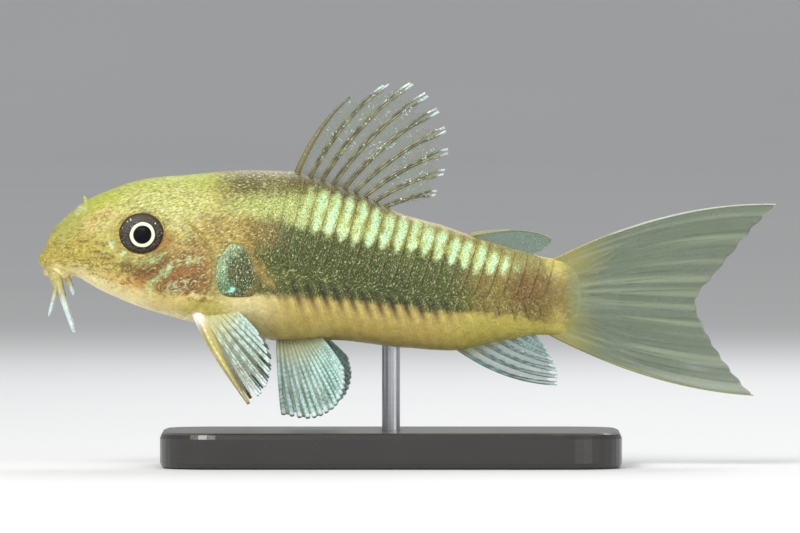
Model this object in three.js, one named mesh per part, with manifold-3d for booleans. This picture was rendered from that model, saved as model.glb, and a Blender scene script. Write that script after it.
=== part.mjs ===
// A corydoras catfish, life size, swimming in profile, on a plain display stand. Millimetres, +Z up.
// The snout points along -X and the fish's left side faces -Y. The origin is the centre of the stand's underside.
import * as THREE from "three";
import { mergeVertices } from "three/addons/utils/BufferGeometryUtils.js";
import Module from "manifold-3d";

const wasm = await Module();
wasm.setup();

// Driving dimensions. Fish measures run back from the snout tip (x) and up from its level (z).
const GAP = 0.3; // between two pieces that touch
const SCUTE_PITCH = 1.38; // one armour plate, front to back
const FIRST_SCUTE = 21.5; // where the two rows of plates begin, behind the shoulder
const TORSO_SCUTES = 12;
const TAIL_SCUTES = 10;
const SCUTE_STEP = 0.3; // how far a plate's rear edge stands over the next plate
const SCUTE_RISE = 0.86; // share of a plate over which its surface rises to that edge
const GILL_EDGE = 17.8; // rear edge of the gill cover, at mid height
const GILL_LIP = 0.3; // how far the gill cover stands proud of the shoulder
const GILL_BOW = { above: 1, below: 2.1 }; // how far its rear edge curves forward to back and throat
const GILL_REACH = 2.6; // length over which that curve fades into straight rings
const SCUTE_LEAN = { above: 2.4, below: 1.9 }; // how far a plate leans back from the lateral line
const LEAN_STARTS = 18.8; // the rings begin to lean here, and lean in full further back
const LEAN_FULL = 24;
const DEEPEST = 16.5; // depth of the body where it is deepest
const AROUND = 36; // points round the body
const MEMBRANE = 0.5; // thickness of a fin between its rays
const FIN_TIP = 0.34; // thickness of a fin at its margin
const RAY_TAPER = 0.6; // share of its height that a ray's ridge loses towards the margin
const COLUMNS_A_RAY = 3;

const SNOUT_X = -35.3; // the snout tip, on the stand
const SNOUT_Z = 20.6;
const ROD_X = 0;
const ROD_RADIUS = 0.9;
const SOCKET_DEPTH = 1.2; // the rod's end in the belly
const SLAB_SOCKET = 2.2; // its other end in the base
const BASE_LENGTH = 46;
const BASE_WIDTH = 26;
const BASE_HEIGHT = 3.6;
const BASE_CORNER = 5;
const BASE_BEVEL = 0.6;

// Outline of the body: [x, z] of the back and the belly, and [x, value] of the rest.
const BACK = [
  [0, 0], [0.6, 1.1], [1.4, 2.9], [3.1, 4.6], [4.9, 5.95], [7.9, 7.3], [11, 8.15], [15.9, 8.6],
  [20.7, 9], [25.3, 8.9], [28.3, 8.05], [32.3, 6.6], [36.2, 4.7], [40.7, 3.4], [44.7, 2], [48.5, 0.85],
  [51.5, 0.15], [54, 0],
];
const BELLY = [
  [0, 0], [0.3, -0.6], [0.9, -1.2], [1.9, -1.5], [3.3, -1.5], [6.3, -3], [9.5, -4.4], [14.3, -5.9],
  [20.7, -7.2], [24.3, -8.1], [29.3, -8], [35.9, -8.7], [41.3, -9.05], [46.3, -8.05], [50.3, -7.5],
  [54, -7.6],
];
const HALF_WIDTH = [
  [0, 0], [0.5, 1.25], [1.5, 2.2], [3, 3.1], [5, 4], [8, 5], [11, 5.6], [15, 6.2], [20, 6.55],
  [26, 6.3], [33, 5.35], [39, 4.1], [45, 2.75], [49.5, 1.7], [52.5, 1.05], [54, 0.9],
];
// Where the body is widest, as a share of its depth, and how full its sections are, as superellipse exponents.
const WIDEST_LEVEL = [[0, 0.5], [3, 0.36], [8, 0.4], [20, 0.43], [35, 0.47], [54, 0.5]];
const TOP_FULLNESS = [[0, 2.2], [10, 2.15], [20, 1.85], [35, 1.8], [54, 2]];
const BELLY_FULLNESS = [[0, 2.2], [6, 2.6], [20, 2.9], [35, 2.6], [45, 2.1], [54, 2]];

const MOUTH = {
  x: 2,
  z: -1.2,
  lipRing: 1.1,
  lipThickness: 0.42,
  spread: 1.25,
  tilt: 0.1,
  opening: [0.6, 1.15, 0.6],
  openingDrop: 0.35,
};
const NOSTRILS = [{ x: 5.65, z: 4.05, radius: 0.38 }, { x: 6.9, z: 4.7, radius: 0.45 }];
const NASAL_FLAP = { at: [4.95, 1.25, 6], radii: [0.2, 0.42, 0.62], lean: -0.5 };
const EYE = { x: 10.4, z: 2.8, radius: 2.25, flatten: 0.9, bulge: 0.7, depth: 2.1, sink: 0.15 };

// Looks of each kind of surface.
const finish = (color, roughness, metalness = 0) =>
  new THREE.MeshStandardMaterial({ color, roughness, metalness });
const SKIN_HEAD = finish(0xb9ab5a, 0.4, 0.1);
const SKIN_FLANK = finish(0x7d8050, 0.38, 0.2);
const SKIN_TAIL = finish(0x93894d, 0.4, 0.15);
const FIN = finish(0x8f9c74, 0.45);
const FIN_PALE = finish(0xa9cfc4, 0.4);
const BARBEL = finish(0xd8cf95, 0.5);
const EYEBALL = finish(0x15171c, 0.08);
const STAND_BASE = finish(0x2b211b, 0.5);
const STAND_ROD = finish(0x9a9a98, 0.3, 1);

// A smooth curve through [x, value] points that never overshoots them. It runs in the square root of x, so that
// the snout is round and not pointed.
function profile(points) {
  const q = points.map(([x]) => Math.sqrt(x));
  const v = points.map(([, value]) => value);
  const slope = q.slice(1).map((next, i) => (v[i + 1] - v[i]) / (next - q[i]));
  const tangent = q.map((_, i) => {
    if (i === 0) return slope[0];
    if (i === q.length - 1) return slope[i - 1];
    const [a, b] = [slope[i - 1], slope[i]];
    return a * b <= 0 ? 0 : (2 * a * b) / (a + b);
  });
  return (x) => {
    const at = Math.min(Math.max(Math.sqrt(Math.max(x, 0)), q[0]), q[q.length - 1]);
    const i = Math.max(0, Math.min(q.length - 2, q.findIndex((next) => next > at) - 1));
    const last = at >= q[q.length - 1] ? q.length - 2 : i;
    const span = q[last + 1] - q[last];
    const t = (at - q[last]) / span;
    const [t2, t3] = [t * t, t * t * t];
    return (
      (2 * t3 - 3 * t2 + 1) * v[last] +
      (t3 - 2 * t2 + t) * span * tangent[last] +
      (3 * t2 - 2 * t3) * v[last + 1] +
      (t3 - t2) * span * tangent[last + 1]
    );
  };
}

const back = profile(BACK);
const belly = profile(BELLY);
const halfWidth = profile(HALF_WIDTH);
const widest = profile(WIDEST_LEVEL);
const topFullness = profile(TOP_FULLNESS);
const bellyFullness = profile(BELLY_FULLNESS);
const smooth = (x, from, to) => THREE.MathUtils.smoothstep(x, from, to);

// A point of the body's surface. The angle runs from 0 on the back over the left side to PI under the belly, and
// on up the right side. grow moves it outwards.
function bodyPoint(x, angle, grow = 0) {
  const left = angle <= Math.PI;
  const a = left ? angle : 2 * Math.PI - angle;
  const top = back(x) + grow;
  const bottom = belly(x) - grow;
  const width = halfWidth(x) + grow;
  const level = bottom + widest(x) * (top - bottom);
  const upper = a <= Math.PI / 2;
  const power = 2 / (upper ? topFullness(x) : bellyFullness(x));
  const out = width * Math.pow(Math.abs(Math.sin(a)), power);
  const up = Math.pow(Math.abs(Math.cos(a)), power);
  const z = upper ? level + (top - level) * up : level - (level - bottom) * up;
  return new THREE.Vector3(x, left ? -out : out, z);
}

// The direction out of the body at a place on it.
function bodyNormal(x, angle) {
  const step = 0.02;
  const along = bodyPoint(x + step, angle).sub(bodyPoint(x - step, angle));
  const round = bodyPoint(x, angle + step).sub(bodyPoint(x, angle - step));
  return round.cross(along).normalize();
}

// The angle at which the left side's surface is at height z.
function angleAt(x, z) {
  let [low, high] = [0, Math.PI];
  for (let i = 0; i < 40; i++) {
    const middle = (low + high) / 2;
    if (bodyPoint(x, middle).z > z) low = middle;
    else high = middle;
  }
  return (low + high) / 2;
}

// Rings of points lie along the plates' edges. t runs from 1 on the back over 0 at the lateral line to -1
// below. A ring curves forward at the gill cover, leans back above and below the lateral line on the flank, and
// its lower half lies half a plate further back, so that the two rows of plates interlock.
function ringShift(x, t) {
  const nearGill = Math.exp(-(((x - GILL_EDGE) / GILL_REACH) ** 2));
  const gill = -nearGill * (t > 0 ? GILL_BOW.above : GILL_BOW.below) * t * t;
  const depth = (back(x) - belly(x)) / DEEPEST;
  const leanShare = smooth(x, LEAN_STARTS, LEAN_FULL) * depth * Math.sin((Math.abs(t) * Math.PI) / 2);
  const lean = leanShare * (t > 0 ? SCUTE_LEAN.above : SCUTE_LEAN.below);
  const stagger = t < 0 ? (smooth(x, LEAN_STARTS, FIRST_SCUTE) * SCUTE_PITCH) / 2 : 0;
  return gill + lean + stagger;
}

// How much of a plate's step shows at height t: none on the back's ridge, the lateral line and the bare belly.
function plateShare(t) {
  const height = Math.abs(t);
  return smooth(height, 0, 0.1) * (t > 0 ? 1 - smooth(height, 0.8, 1) : 1 - smooth(height, 0.62, 0.86));
}

function ring(x, raise) {
  const points = [];
  for (let i = 0; i < AROUND; i++) {
    const angle = (2 * Math.PI * i) / AROUND;
    const t = 1 - Math.min(angle, 2 * Math.PI - angle) / (Math.PI / 2);
    const at = x + ringShift(x, t);
    const point = bodyPoint(at, angle);
    const height = raise(t);
    points.push(height ? point.addScaledVector(bodyNormal(at, angle), height) : point);
  }
  return points;
}

// A closed skin over rings of equal length, with a point or a flat fan at each end.
function loft(rings, first, last) {
  const count = rings[0].length;
  const positions = [];
  const index = [];
  for (const point of rings.flat()) positions.push(point.x, point.y, point.z);
  for (let r = 0; r + 1 < rings.length; r++)
    for (let i = 0; i < count; i++) {
      const [a, b] = [r * count + i, r * count + ((i + 1) % count)];
      index.push(a, b, a + count, b, b + count, a + count);
    }
  const middle = (points) =>
    points.reduce((sum, p) => sum.add(p), new THREE.Vector3()).divideScalar(points.length);
  const ends = [first ?? middle(rings[0]), last ?? middle(rings[rings.length - 1])];
  for (const point of ends) positions.push(point.x, point.y, point.z);
  const [front, rear] = [rings.length * count, rings.length * count + 1];
  const start = (rings.length - 1) * count;
  for (let i = 0; i < count; i++) {
    const next = (i + 1) % count;
    index.push(front, next, i);
    index.push(rear, start + i, start + next);
  }
  const geometry = new THREE.BufferGeometry();
  geometry.setAttribute("position", new THREE.Float32BufferAttribute(positions, 3));
  geometry.setIndex(index);
  return geometry;
}

// A closed mesh as a solid that can be joined and cut, turned right side out if need be.
function solidOf(geometry) {
  const bare = geometry.clone();
  for (const name of ["normal", "uv"]) bare.deleteAttribute(name);
  const merged = mergeVertices(bare, 1e-5);
  const solid = new wasm.Manifold(
    new wasm.Mesh({
      numProp: 3,
      vertProperties: merged.attributes.position.array,
      triVerts: new Uint32Array(merged.index.array),
    }),
  );
  if (solid.volume() > 0) return solid;
  const turned = new Uint32Array(merged.index.array);
  for (let i = 0; i < turned.length; i += 3) turned.subarray(i, i + 3).reverse();
  return new wasm.Manifold(
    new wasm.Mesh({ numProp: 3, vertProperties: merged.attributes.position.array, triVerts: turned }),
  );
}

// The largest closed body of a solid, as a mesh.
function meshOf(name, solid, material) {
  const whole = solid.decompose().sort((a, b) => b.volume() - a.volume())[0];
  const mesh = whole.getMesh();
  const geometry = new THREE.BufferGeometry();
  geometry.setAttribute("position", new THREE.BufferAttribute(mesh.vertProperties, 3));
  geometry.setIndex(new THREE.BufferAttribute(mesh.triVerts, 1));
  geometry.computeVertexNormals();
  const made = new THREE.Mesh(geometry, material);
  made.name = name;
  return made;
}

const join = (solids) => solids.reduce((sum, next) => sum.add(next));
const vector = ([x, y, z]) => new THREE.Vector3(x, y, z);
const curveThrough = (points) => new THREE.CatmullRomCurve3(points.map(vector), false, "centripetal");

// The whole body a little larger and without its plates, to cut what grows from it.
function bodyCutter(grow) {
  const stations = [0.05, 0.4, 1, 2, 3.3, 5, 7.5, 10, 13, 16];
  for (let x = 19; x < 52; x += 1.65) stations.push(x);
  stations.push(TAIL_END + grow);
  const rings = stations.map((x) =>
    ring(x, () => 0).map((p, i) => bodyPoint(p.x, (2 * Math.PI * i) / AROUND, grow)),
  );
  return solidOf(loft(rings, new THREE.Vector3(-grow, 0, 0)));
}

const TORSO_END = FIRST_SCUTE + TORSO_SCUTES * SCUTE_PITCH;
const TAIL_END = TORSO_END + TAIL_SCUTES * SCUTE_PITCH;

// Rings over a run of plates: each plate rises from its front edge to its rear edge and drops to the next.
function plateRings(start, count) {
  const rings = [];
  for (let plate = 0; plate < count; plate++) {
    const x = start + plate * SCUTE_PITCH;
    rings.push(ring(x, () => 0));
    rings.push(ring(x + SCUTE_RISE * SCUTE_PITCH, (t) => SCUTE_STEP * plateShare(t)));
  }
  return rings;
}

function torso() {
  const shoulder = [GILL_EDGE + GAP, LEAN_STARTS, 19.7, 20.6].map((x) => ring(x, () => 0));
  const rear = ring(FIRST_SCUTE - 0.2, (t) => SCUTE_STEP * plateShare(t));
  const plates = plateRings(FIRST_SCUTE, TORSO_SCUTES);
  return solidOf(loft([...shoulder, rear, ...plates, ring(TORSO_END, () => 0)]));
}

function tail() {
  const plates = plateRings(TORSO_END + GAP, TAIL_SCUTES);
  return solidOf(loft([...plates, ring(TAIL_END, () => 0)]));
}

// A tapered round rod along a curve, with a rounded far end.
function taperedTube(points, startRadius, endRadius, sides = 7, steps = 6) {
  const curve = curveThrough(points);
  const frames = curve.computeFrenetFrames(steps);
  const rings = [];
  for (let i = 0; i <= steps; i++) {
    const along = i / steps;
    const radius = THREE.MathUtils.lerp(startRadius, endRadius, along) * (i === steps ? 0.7 : 1);
    const centre = curve.getPointAt(along);
    rings.push(
      Array.from({ length: sides }, (_, k) => {
        const angle = (2 * Math.PI * k) / sides;
        return centre
          .clone()
          .addScaledVector(frames.normals[i], radius * Math.cos(angle))
          .addScaledVector(frames.binormals[i], radius * Math.sin(angle));
      }),
    );
  }
  const tip = curve.getPointAt(1).addScaledVector(curve.getTangentAt(1), endRadius * 0.6);
  return loft(rings, undefined, tip);
}

// The eyeball: a flat dome outside and a deep half ball inside, turned to stand out of the head.
function eyeball(side, grow) {
  const steps = 5;
  const outline = [];
  for (let i = 0; i <= 2 * steps; i++) {
    const angle = (Math.PI * i) / (2 * steps);
    const height = (i <= steps ? EYE.bulge : EYE.depth) + grow;
    const radius = i === 0 || i === 2 * steps ? 0 : (EYE.radius + grow) * Math.sin(angle);
    outline.push(new THREE.Vector2(radius, height * Math.cos(angle)));
  }
  const geometry = new THREE.LatheGeometry(outline, 16);
  const angle = angleAt(EYE.x, EYE.z);
  const normal = bodyNormal(EYE.x, angle);
  const centre = bodyPoint(EYE.x, angle).addScaledVector(normal, -EYE.sink);
  const up = new THREE.Vector3(0, 0, 1).addScaledVector(normal, -normal.z).normalize();
  const along = new THREE.Vector3().crossVectors(normal, up);
  geometry.applyMatrix4(new THREE.Matrix4().makeScale(1, 1, EYE.flatten));
  geometry.applyMatrix4(new THREE.Matrix4().makeBasis(along, normal, up).setPosition(centre));
  if (side > 0) geometry.applyMatrix4(new THREE.Matrix4().makeScale(1, -1, 1));
  return solidOf(geometry);
}

// A ball stretched along the axes.
function ball(centre, radii, turn = 0, detail = [12, 8]) {
  const geometry = new THREE.SphereGeometry(1, ...detail);
  geometry.scale(...radii);
  geometry.rotateY(turn);
  geometry.translate(...centre);
  return solidOf(geometry);
}

const SIDES = [["left", -1], ["right", 1]];

const onSide = ([x, y, z], side) => [x, y * side, z];

// The fleshy root of the barbels at each corner of the mouth
const LOBE = { points: [[2, 1.15, -0.8], [2.25, 1.65, -1.9], [2.5, 2, -2.95]], thick: 0.95, thin: 0.58 };
const lobeTube = (side, grow) => {
  const points = LOBE.points.map((p) => onSide(p, side));
  return solidOf(taperedTube(points, LOBE.thick + grow, LOBE.thin + grow, 8, 4));
};

// The head: a loft with its gill covers raised, then lips, barbel roots, mouth, nostrils and eye sockets.
function head() {
  const snout = [0.06, 0.25, 0.6, 1.1, 1.8, 2.6, 3.6, 4.8, 6.1, 7.4];
  const cheek = [8.7, 10, 11.3, 12.6, 13.8, 14.9, 15.9, 16.8, GILL_EDGE];
  const lift = (x) => (t) =>
    GILL_LIP * smooth(x, 14.2, 16.6) * smooth(t, -0.92, -0.7) * (1 - smooth(t, 0.25, 0.5));
  const rings = [...snout, ...cheek].map((x) => ring(x, lift(x)));
  let made = solidOf(loft(rings, new THREE.Vector3(0, 0, 0)));
  const lips = new THREE.TorusGeometry(MOUTH.lipRing, MOUTH.lipThickness, 8, 18);
  lips.scale(1, MOUTH.spread, 1);
  lips.rotateY(MOUTH.tilt);
  lips.translate(MOUTH.x, 0, MOUTH.z);
  const flap = (side) => ball(onSide(NASAL_FLAP.at, side), NASAL_FLAP.radii, NASAL_FLAP.lean, [8, 6]);
  made = join([made, solidOf(lips), ...SIDES.flatMap(([, side]) => [lobeTube(side, 0), flap(side)])]);
  made = made.subtract(ball([MOUTH.x, 0, MOUTH.z - MOUTH.openingDrop], MOUTH.opening));
  for (const [, side] of SIDES) {
    for (const { x, z, radius } of NOSTRILS) {
      const surface = bodyPoint(x, angleAt(x, z));
      made = made.subtract(ball([x, surface.y * -side, z], [radius, radius, radius], 0, [8, 6]));
    }
    made = made.subtract(eyeball(side, GAP));
  }
  return made;
}

// Columns of a fin's sheet. A fin runs from its root, sunk in the body, to its margin. Each ray is a ridge on both
// faces, and the membrane falls short of the ray tips by the notch.
function finColumns({ rays, rayWidth, notch, blank = [] }) {
  const columns = [];
  for (let k = 0; k < rays; k++) {
    const at = rays > 1 ? rayWidth + ((1 - 2 * rayWidth) * k) / (rays - 1) : rayWidth;
    columns.push({ at: at - rayWidth, crest: 0, reach: k ? 1 - notch : 1 });
    columns.push({ at, crest: 1, reach: 1 });
    columns.push({ at: at + rayWidth, crest: 0, reach: 1 - notch });
  }
  for (const at of blank) columns.push({ at, crest: 0, reach: 1 });
  return columns;
}

function finSheet(fin) {
  const { root, margin, plane, bend, rows, rayThickness, spineThickness = rayThickness } = fin;
  const rootCurve = curveThrough(root);
  const marginCurve = curveThrough(margin);
  const columns = finColumns(fin);
  const place = (at, v) => {
    const from = rootCurve.getPoint(at);
    const to = marginCurve.getPoint(at);
    const chord = to.clone().sub(from);
    const across = new THREE.Vector3().crossVectors(vector(plane), chord);
    const bow = THREE.MathUtils.lerp(bend[0], bend[1], at);
    const control = from.clone().addScaledVector(chord, 0.55).addScaledVector(across, bow);
    return from
      .multiplyScalar((1 - v) ** 2)
      .addScaledVector(control, 2 * v * (1 - v))
      .addScaledVector(to, v * v);
  };
  const normalAt = (at, v) => {
    const step = 0.004;
    const a = THREE.MathUtils.clamp(at, step, 1 - step);
    const w = THREE.MathUtils.clamp(v, step, 1 - step);
    const across = place(a + step, w).sub(place(a - step, w));
    const out = place(a, w + step).sub(place(a, w - step));
    return across.cross(out).normalize();
  };
  const faces = [[], []];
  columns.forEach(({ at, crest, reach }, column) => {
    const full = column < COLUMNS_A_RAY ? spineThickness : rayThickness;
    for (let row = 0; row < rows; row++) {
      const v = (row / (rows - 1)) * reach;
      const ridge = crest * (full - MEMBRANE) * (1 - RAY_TAPER * v);
      const thickness = row === rows - 1 ? FIN_TIP : MEMBRANE + ridge;
      for (const [face, sign] of [[faces[0], 1], [faces[1], -1]])
        face.push(place(at, v).addScaledVector(normalAt(at, v), (sign * thickness) / 2));
    }
  });
  return closedSheet(faces, columns.length, rows);
}

// Two matching grids of points as one closed body, split into the same triangles on both faces.
function closedSheet(faces, columns, rows) {
  const positions = faces.flat().flatMap((p) => [p.x, p.y, p.z]);
  const far = columns * rows;
  const index = [];
  for (let c = 0; c + 1 < columns; c++)
    for (let r = 0; r + 1 < rows; r++) {
      const [a, b] = [c * rows + r, (c + 1) * rows + r];
      index.push(a, b, b + 1, a, b + 1, a + 1);
      index.push(far + a, far + b + 1, far + b, far + a, far + a + 1, far + b + 1);
    }
  const wall = (a, b) => index.push(b, a, far + b, a, far + a, far + b);
  for (let c = 0; c + 1 < columns; c++) {
    wall(c * rows, (c + 1) * rows);
    wall((c + 1) * rows + rows - 1, c * rows + rows - 1);
  }
  for (let r = 0; r + 1 < rows; r++) {
    wall(r + 1, r);
    wall((columns - 1) * rows + r, (columns - 1) * rows + r + 1);
  }
  const geometry = new THREE.BufferGeometry();
  geometry.setAttribute("position", new THREE.Float32BufferAttribute(positions, 3));
  geometry.setIndex(index);
  return geometry;
}

// Sizes of the fins that stand on the body's middle line: x and z of the root, front to back, and of the margin.
const onMiddle = (points) => points.map(([x, z]) => [x, 0, z]);
const MIDDLE_PLANE = [0, -1, 0];
const DORSAL = {
  root: onMiddle([[25.3, 7.7], [30, 6.4], [33.6, 4.6]]),
  margin: onMiddle([[31.7, 16.4], [37.3, 17.7], [40, 15], [41, 10.6], [39.6, 6.1]]),
  plane: MIDDLE_PLANE,
  bend: [0.11, 0.1],
  rays: 9,
  rayWidth: 0.024,
  rayThickness: 0.85,
  spineThickness: 1.3,
  notch: 0.13,
  rows: 6,
};
const ADIPOSE = {
  root: onMiddle([[41.6, 2.2], [44.6, 1.2], [48, 0.2]]),
  margin: onMiddle([[47, 2.98], [49.6, 2.75], [51.3, 2], [50.3, 0.9]]),
  plane: MIDDLE_PLANE,
  bend: [0.05, 0],
  rays: 1,
  rayWidth: 0.09,
  rayThickness: 0.95,
  notch: 0,
  rows: 6,
  blank: [0.35, 0.55, 0.78, 1],
};
const ANAL = {
  root: onMiddle([[40.9, -8.3], [45.5, -7.7], [49.3, -6.8]]),
  margin: onMiddle([[51.9, -12.5], [51.9, -11], [51.2, -9.5], [50.5, -8.5]]),
  plane: MIDDLE_PLANE,
  bend: [-0.17, -0.02],
  rays: 7,
  rayWidth: 0.03,
  rayThickness: 0.8,
  notch: 0.09,
  rows: 6,
};
const CAUDAL = {
  root: onMiddle([[50.6, -0.45], [50.1, -3.8], [50.6, -7.15]]),
  margin: onMiddle([
    [74.2, 5.6], [71.4, 2.6], [68.4, -1], [66.1, -4.1], [67.3, -7.5], [69.4, -10.7], [71.9, -13.6],
  ]),
  plane: MIDDLE_PLANE,
  bend: [0.13, -0.11],
  rays: 14,
  rayWidth: 0.016,
  rayThickness: 0.85,
  notch: 0.035,
  rows: 7,
};

// The paired fins, on the left side. swing turns a fin's margin back about its root, in degrees.
const PECTORAL = {
  root: [[14.7, -3.3, -4.3], [16.5, -3.7, -4.2], [18.2, -3.9, -4.1]],
  margin: [
    [21, -10.4, -14.2], [22.7, -10.4, -12.6], [23.2, -9.9, -10.4], [22.8, -9.1, -8.6], [21.9, -8, -6.9],
  ],
  plane: [0.28, -0.86, 0.42],
  bend: [-0.03, 0.07],
  rays: 8,
  rayWidth: 0.033,
  rayThickness: 0.85,
  spineThickness: 1.35,
  notch: 0.12,
  rows: 6,
};
const PELVIC = {
  root: [[24, -2, -7], [25.8, -2.1, -7], [27.5, -2.2, -6.9]],
  margin: [
    [24.6, -5.4, -15.4], [27.6, -6, -15.7], [29.7, -6.2, -14.6], [30.6, -6, -12.7], [30.5, -5.4, -10.9],
  ],
  plane: [0.1, -0.93, 0.35],
  bend: [-0.05, 0.08],
  rays: 6,
  rayWidth: 0.045,
  rayThickness: 0.85,
  notch: 0.07,
  rows: 6,
};
const PELVIC_SWING = { left: 0, right: 7 };

function paired(fin, side, swing = 0) {
  const pivot = vector(fin.root[0]);
  const axis = new THREE.Vector3(0, -1, 0);
  const angle = THREE.MathUtils.degToRad(swing);
  const turn = (p) => vector(p).sub(pivot).applyAxisAngle(axis, angle).add(pivot);
  const place = (p) => new THREE.Vector3(p.x, p.y * -side, p.z).toArray();
  return {
    ...fin,
    root: fin.root.map((p) => place(vector(p))),
    margin: fin.margin.map((p) => place(turn(p))),
    plane: place(vector(fin.plane)),
    bend: fin.bend.map((b) => b * -side),
  };
}

// Barbels: the two long ones at each mouth corner and the short ones of the chin, [x, y, z] on the right side.
const BARBELS = {
  upper: {
    points: [[2.45, 1.95, -2.4], [2.8, 2.5, -4], [3.25, 2.8, -5.7], [3.75, 2.9, -7.2]],
    from: 0.42,
    to: 0.2,
  },
  lower: {
    points: [[2.3, 1.75, -2.4], [1.95, 2.05, -3.5], [1.5, 2.2, -4.8], [1.15, 2.2, -5.9]],
    from: 0.4,
    to: 0.18,
  },
  chin: {
    points: [[3, 0.75, -1.1], [3.35, 0.9, -2], [3.7, 1, -2.9], [4, 1.05, -3.7]],
    from: 0.5,
    to: 0.25,
  },
};

// The stand: a rounded slab and one rod let into the slab and the belly.
const rodTop = () => SNOUT_Z + belly(ROD_X - SNOUT_X) + SOCKET_DEPTH;

function rod(radius, from, to) {
  const geometry = new THREE.CylinderGeometry(radius, radius, to - from, 20);
  geometry.rotateX(Math.PI / 2);
  geometry.translate(ROD_X, 0, (from + to) / 2);
  return solidOf(geometry);
}

function slab() {
  const l = BASE_LENGTH / 2 - BASE_BEVEL;
  const w = BASE_WIDTH / 2 - BASE_BEVEL;
  const r = BASE_CORNER;
  const quarter = Math.PI / 2;
  const shape = new THREE.Shape();
  shape.absarc(l - r, r - w, r, -quarter, 0);
  shape.absarc(l - r, w - r, r, 0, quarter);
  shape.absarc(r - l, w - r, r, quarter, 2 * quarter);
  shape.absarc(r - l, r - w, r, 2 * quarter, 3 * quarter);
  const geometry = new THREE.ExtrudeGeometry(shape, {
    depth: BASE_HEIGHT - 2 * BASE_BEVEL,
    bevelThickness: BASE_BEVEL,
    bevelSize: BASE_BEVEL,
    bevelSegments: 2,
    curveSegments: 5,
  });
  geometry.translate(0, 0, BASE_BEVEL);
  const socket = rod(ROD_RADIUS + GAP, BASE_HEIGHT - SLAB_SOCKET - GAP, BASE_HEIGHT + 1);
  return solidOf(geometry).subtract(socket);
}

// Assembly: the fish in its own group, set over the stand.
const fish = new THREE.Group();
fish.position.set(SNOUT_X, 0, SNOUT_Z);
const cutter = bodyCutter(GAP);
const rodHole = rod(ROD_RADIUS + GAP, 0, rodTop() + GAP).translate(-SNOUT_X, 0, -SNOUT_Z);

const whole = (name, solid, material) => fish.add(meshOf(name, solid, material));
const grown = (name, geometry, material, ...cuts) =>
  whole(name, [cutter, ...cuts].reduce((left, cut) => left.subtract(cut), solidOf(geometry)), material);

whole("head", head(), SKIN_HEAD);
whole("torso", torso().subtract(rodHole), SKIN_FLANK);
whole("tail", tail(), SKIN_TAIL);
grown("dorsal_fin", finSheet(DORSAL), FIN);
grown("adipose_fin", finSheet(ADIPOSE), FIN);
grown("anal_fin", finSheet(ANAL), FIN);
grown("caudal_fin", finSheet(CAUDAL), FIN);
for (const [name, side] of SIDES) {
  grown(`pectoral_fin_${name}`, finSheet(paired(PECTORAL, side)), FIN_PALE);
  grown(`pelvic_fin_${name}`, finSheet(paired(PELVIC, side, PELVIC_SWING[name])), FIN_PALE);
  whole(`eye_${name}`, eyeball(side, 0), EYEBALL);
  for (const [kind, { points, from, to }] of Object.entries(BARBELS)) {
    const tube = taperedTube(points.map((p) => onSide(p, side)), from, to);
    grown(`barbel_${kind}_${name}`, tube, BARBEL, lobeTube(side, GAP));
  }
}

const stand = new THREE.Group();
stand.add(meshOf("stand_base", slab(), STAND_BASE));
stand.add(meshOf("stand_rod", rod(ROD_RADIUS, BASE_HEIGHT - SLAB_SOCKET, rodTop()), STAND_ROD));

const catfish = new THREE.Group();
catfish.add(fish, stand);
export default catfish;
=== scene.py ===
"""A still, life-size corydoras catfish on a plain display stand.

Places on the fish are in millimetres: x runs from the tip of the snout to the tail, y to the fish's
right, z upwards from the level of the snout tip. inside() turns them into the frame's metres.
"""

from __future__ import annotations

import logging
import math
from dataclasses import dataclass, field
from enum import Enum

import bpy
import numpy as np
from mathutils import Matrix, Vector


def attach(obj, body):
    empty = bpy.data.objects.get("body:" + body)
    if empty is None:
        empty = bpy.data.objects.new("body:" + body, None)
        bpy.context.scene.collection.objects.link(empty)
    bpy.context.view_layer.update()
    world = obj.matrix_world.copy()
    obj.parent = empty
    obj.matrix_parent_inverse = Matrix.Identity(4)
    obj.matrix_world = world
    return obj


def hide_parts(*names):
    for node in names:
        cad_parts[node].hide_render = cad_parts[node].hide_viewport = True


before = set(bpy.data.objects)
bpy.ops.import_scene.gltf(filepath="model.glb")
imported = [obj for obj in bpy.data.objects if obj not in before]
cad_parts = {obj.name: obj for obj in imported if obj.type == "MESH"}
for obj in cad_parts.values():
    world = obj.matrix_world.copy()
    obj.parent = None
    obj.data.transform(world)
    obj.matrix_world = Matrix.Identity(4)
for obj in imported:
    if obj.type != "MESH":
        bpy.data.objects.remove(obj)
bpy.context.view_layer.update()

log = logging.getLogger("corydoras")

MM = 0.001
SNOUT_X = -35.3  # the snout tip in the frame, in mm
SNOUT_Z = 20.6
FULL_TURN = 2 * math.pi
MIRROR = np.array([1.0, -1.0, 1.0])
GRAIN_CELLS = (97, 89)  # how many cells a random field has before it repeats
SPINE_SIDES = 16

Colour = tuple[int, int, int]  # a display colour, its channels from 0 to 255
Line = tuple[tuple[float, float], ...]
Curve = tuple[tuple[float, float, float], ...]
Marks = dict[str, np.ndarray]


class Slot(str, Enum):
    """Names of material slots, one of which each fin carries."""

    HEAD = "head_skin"
    FLANK = "flank_plates"
    CLEAR_FIN = "fin_clear"
    MINT_FIN = "fin_mint"
    BARBEL = "barbel_skin"
    EYE = "eye_gloss"


class Side(Enum):
    """The fish's two sides, with the sign of their y."""

    LEFT = -1
    RIGHT = 1

    @property
    def word(self) -> str:
        """Return the side's name as the nodes spell it."""
        return self.name.lower()


def inside(points: np.ndarray) -> np.ndarray:
    """Return places on the fish, in mm from its snout, as metres in the frame.

    Args:
        points: An array whose last axis holds x, y and z.

    Returns:
        An array of the same shape.
    """
    return (points + np.array([SNOUT_X, 0.0, SNOUT_Z])) * MM


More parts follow.
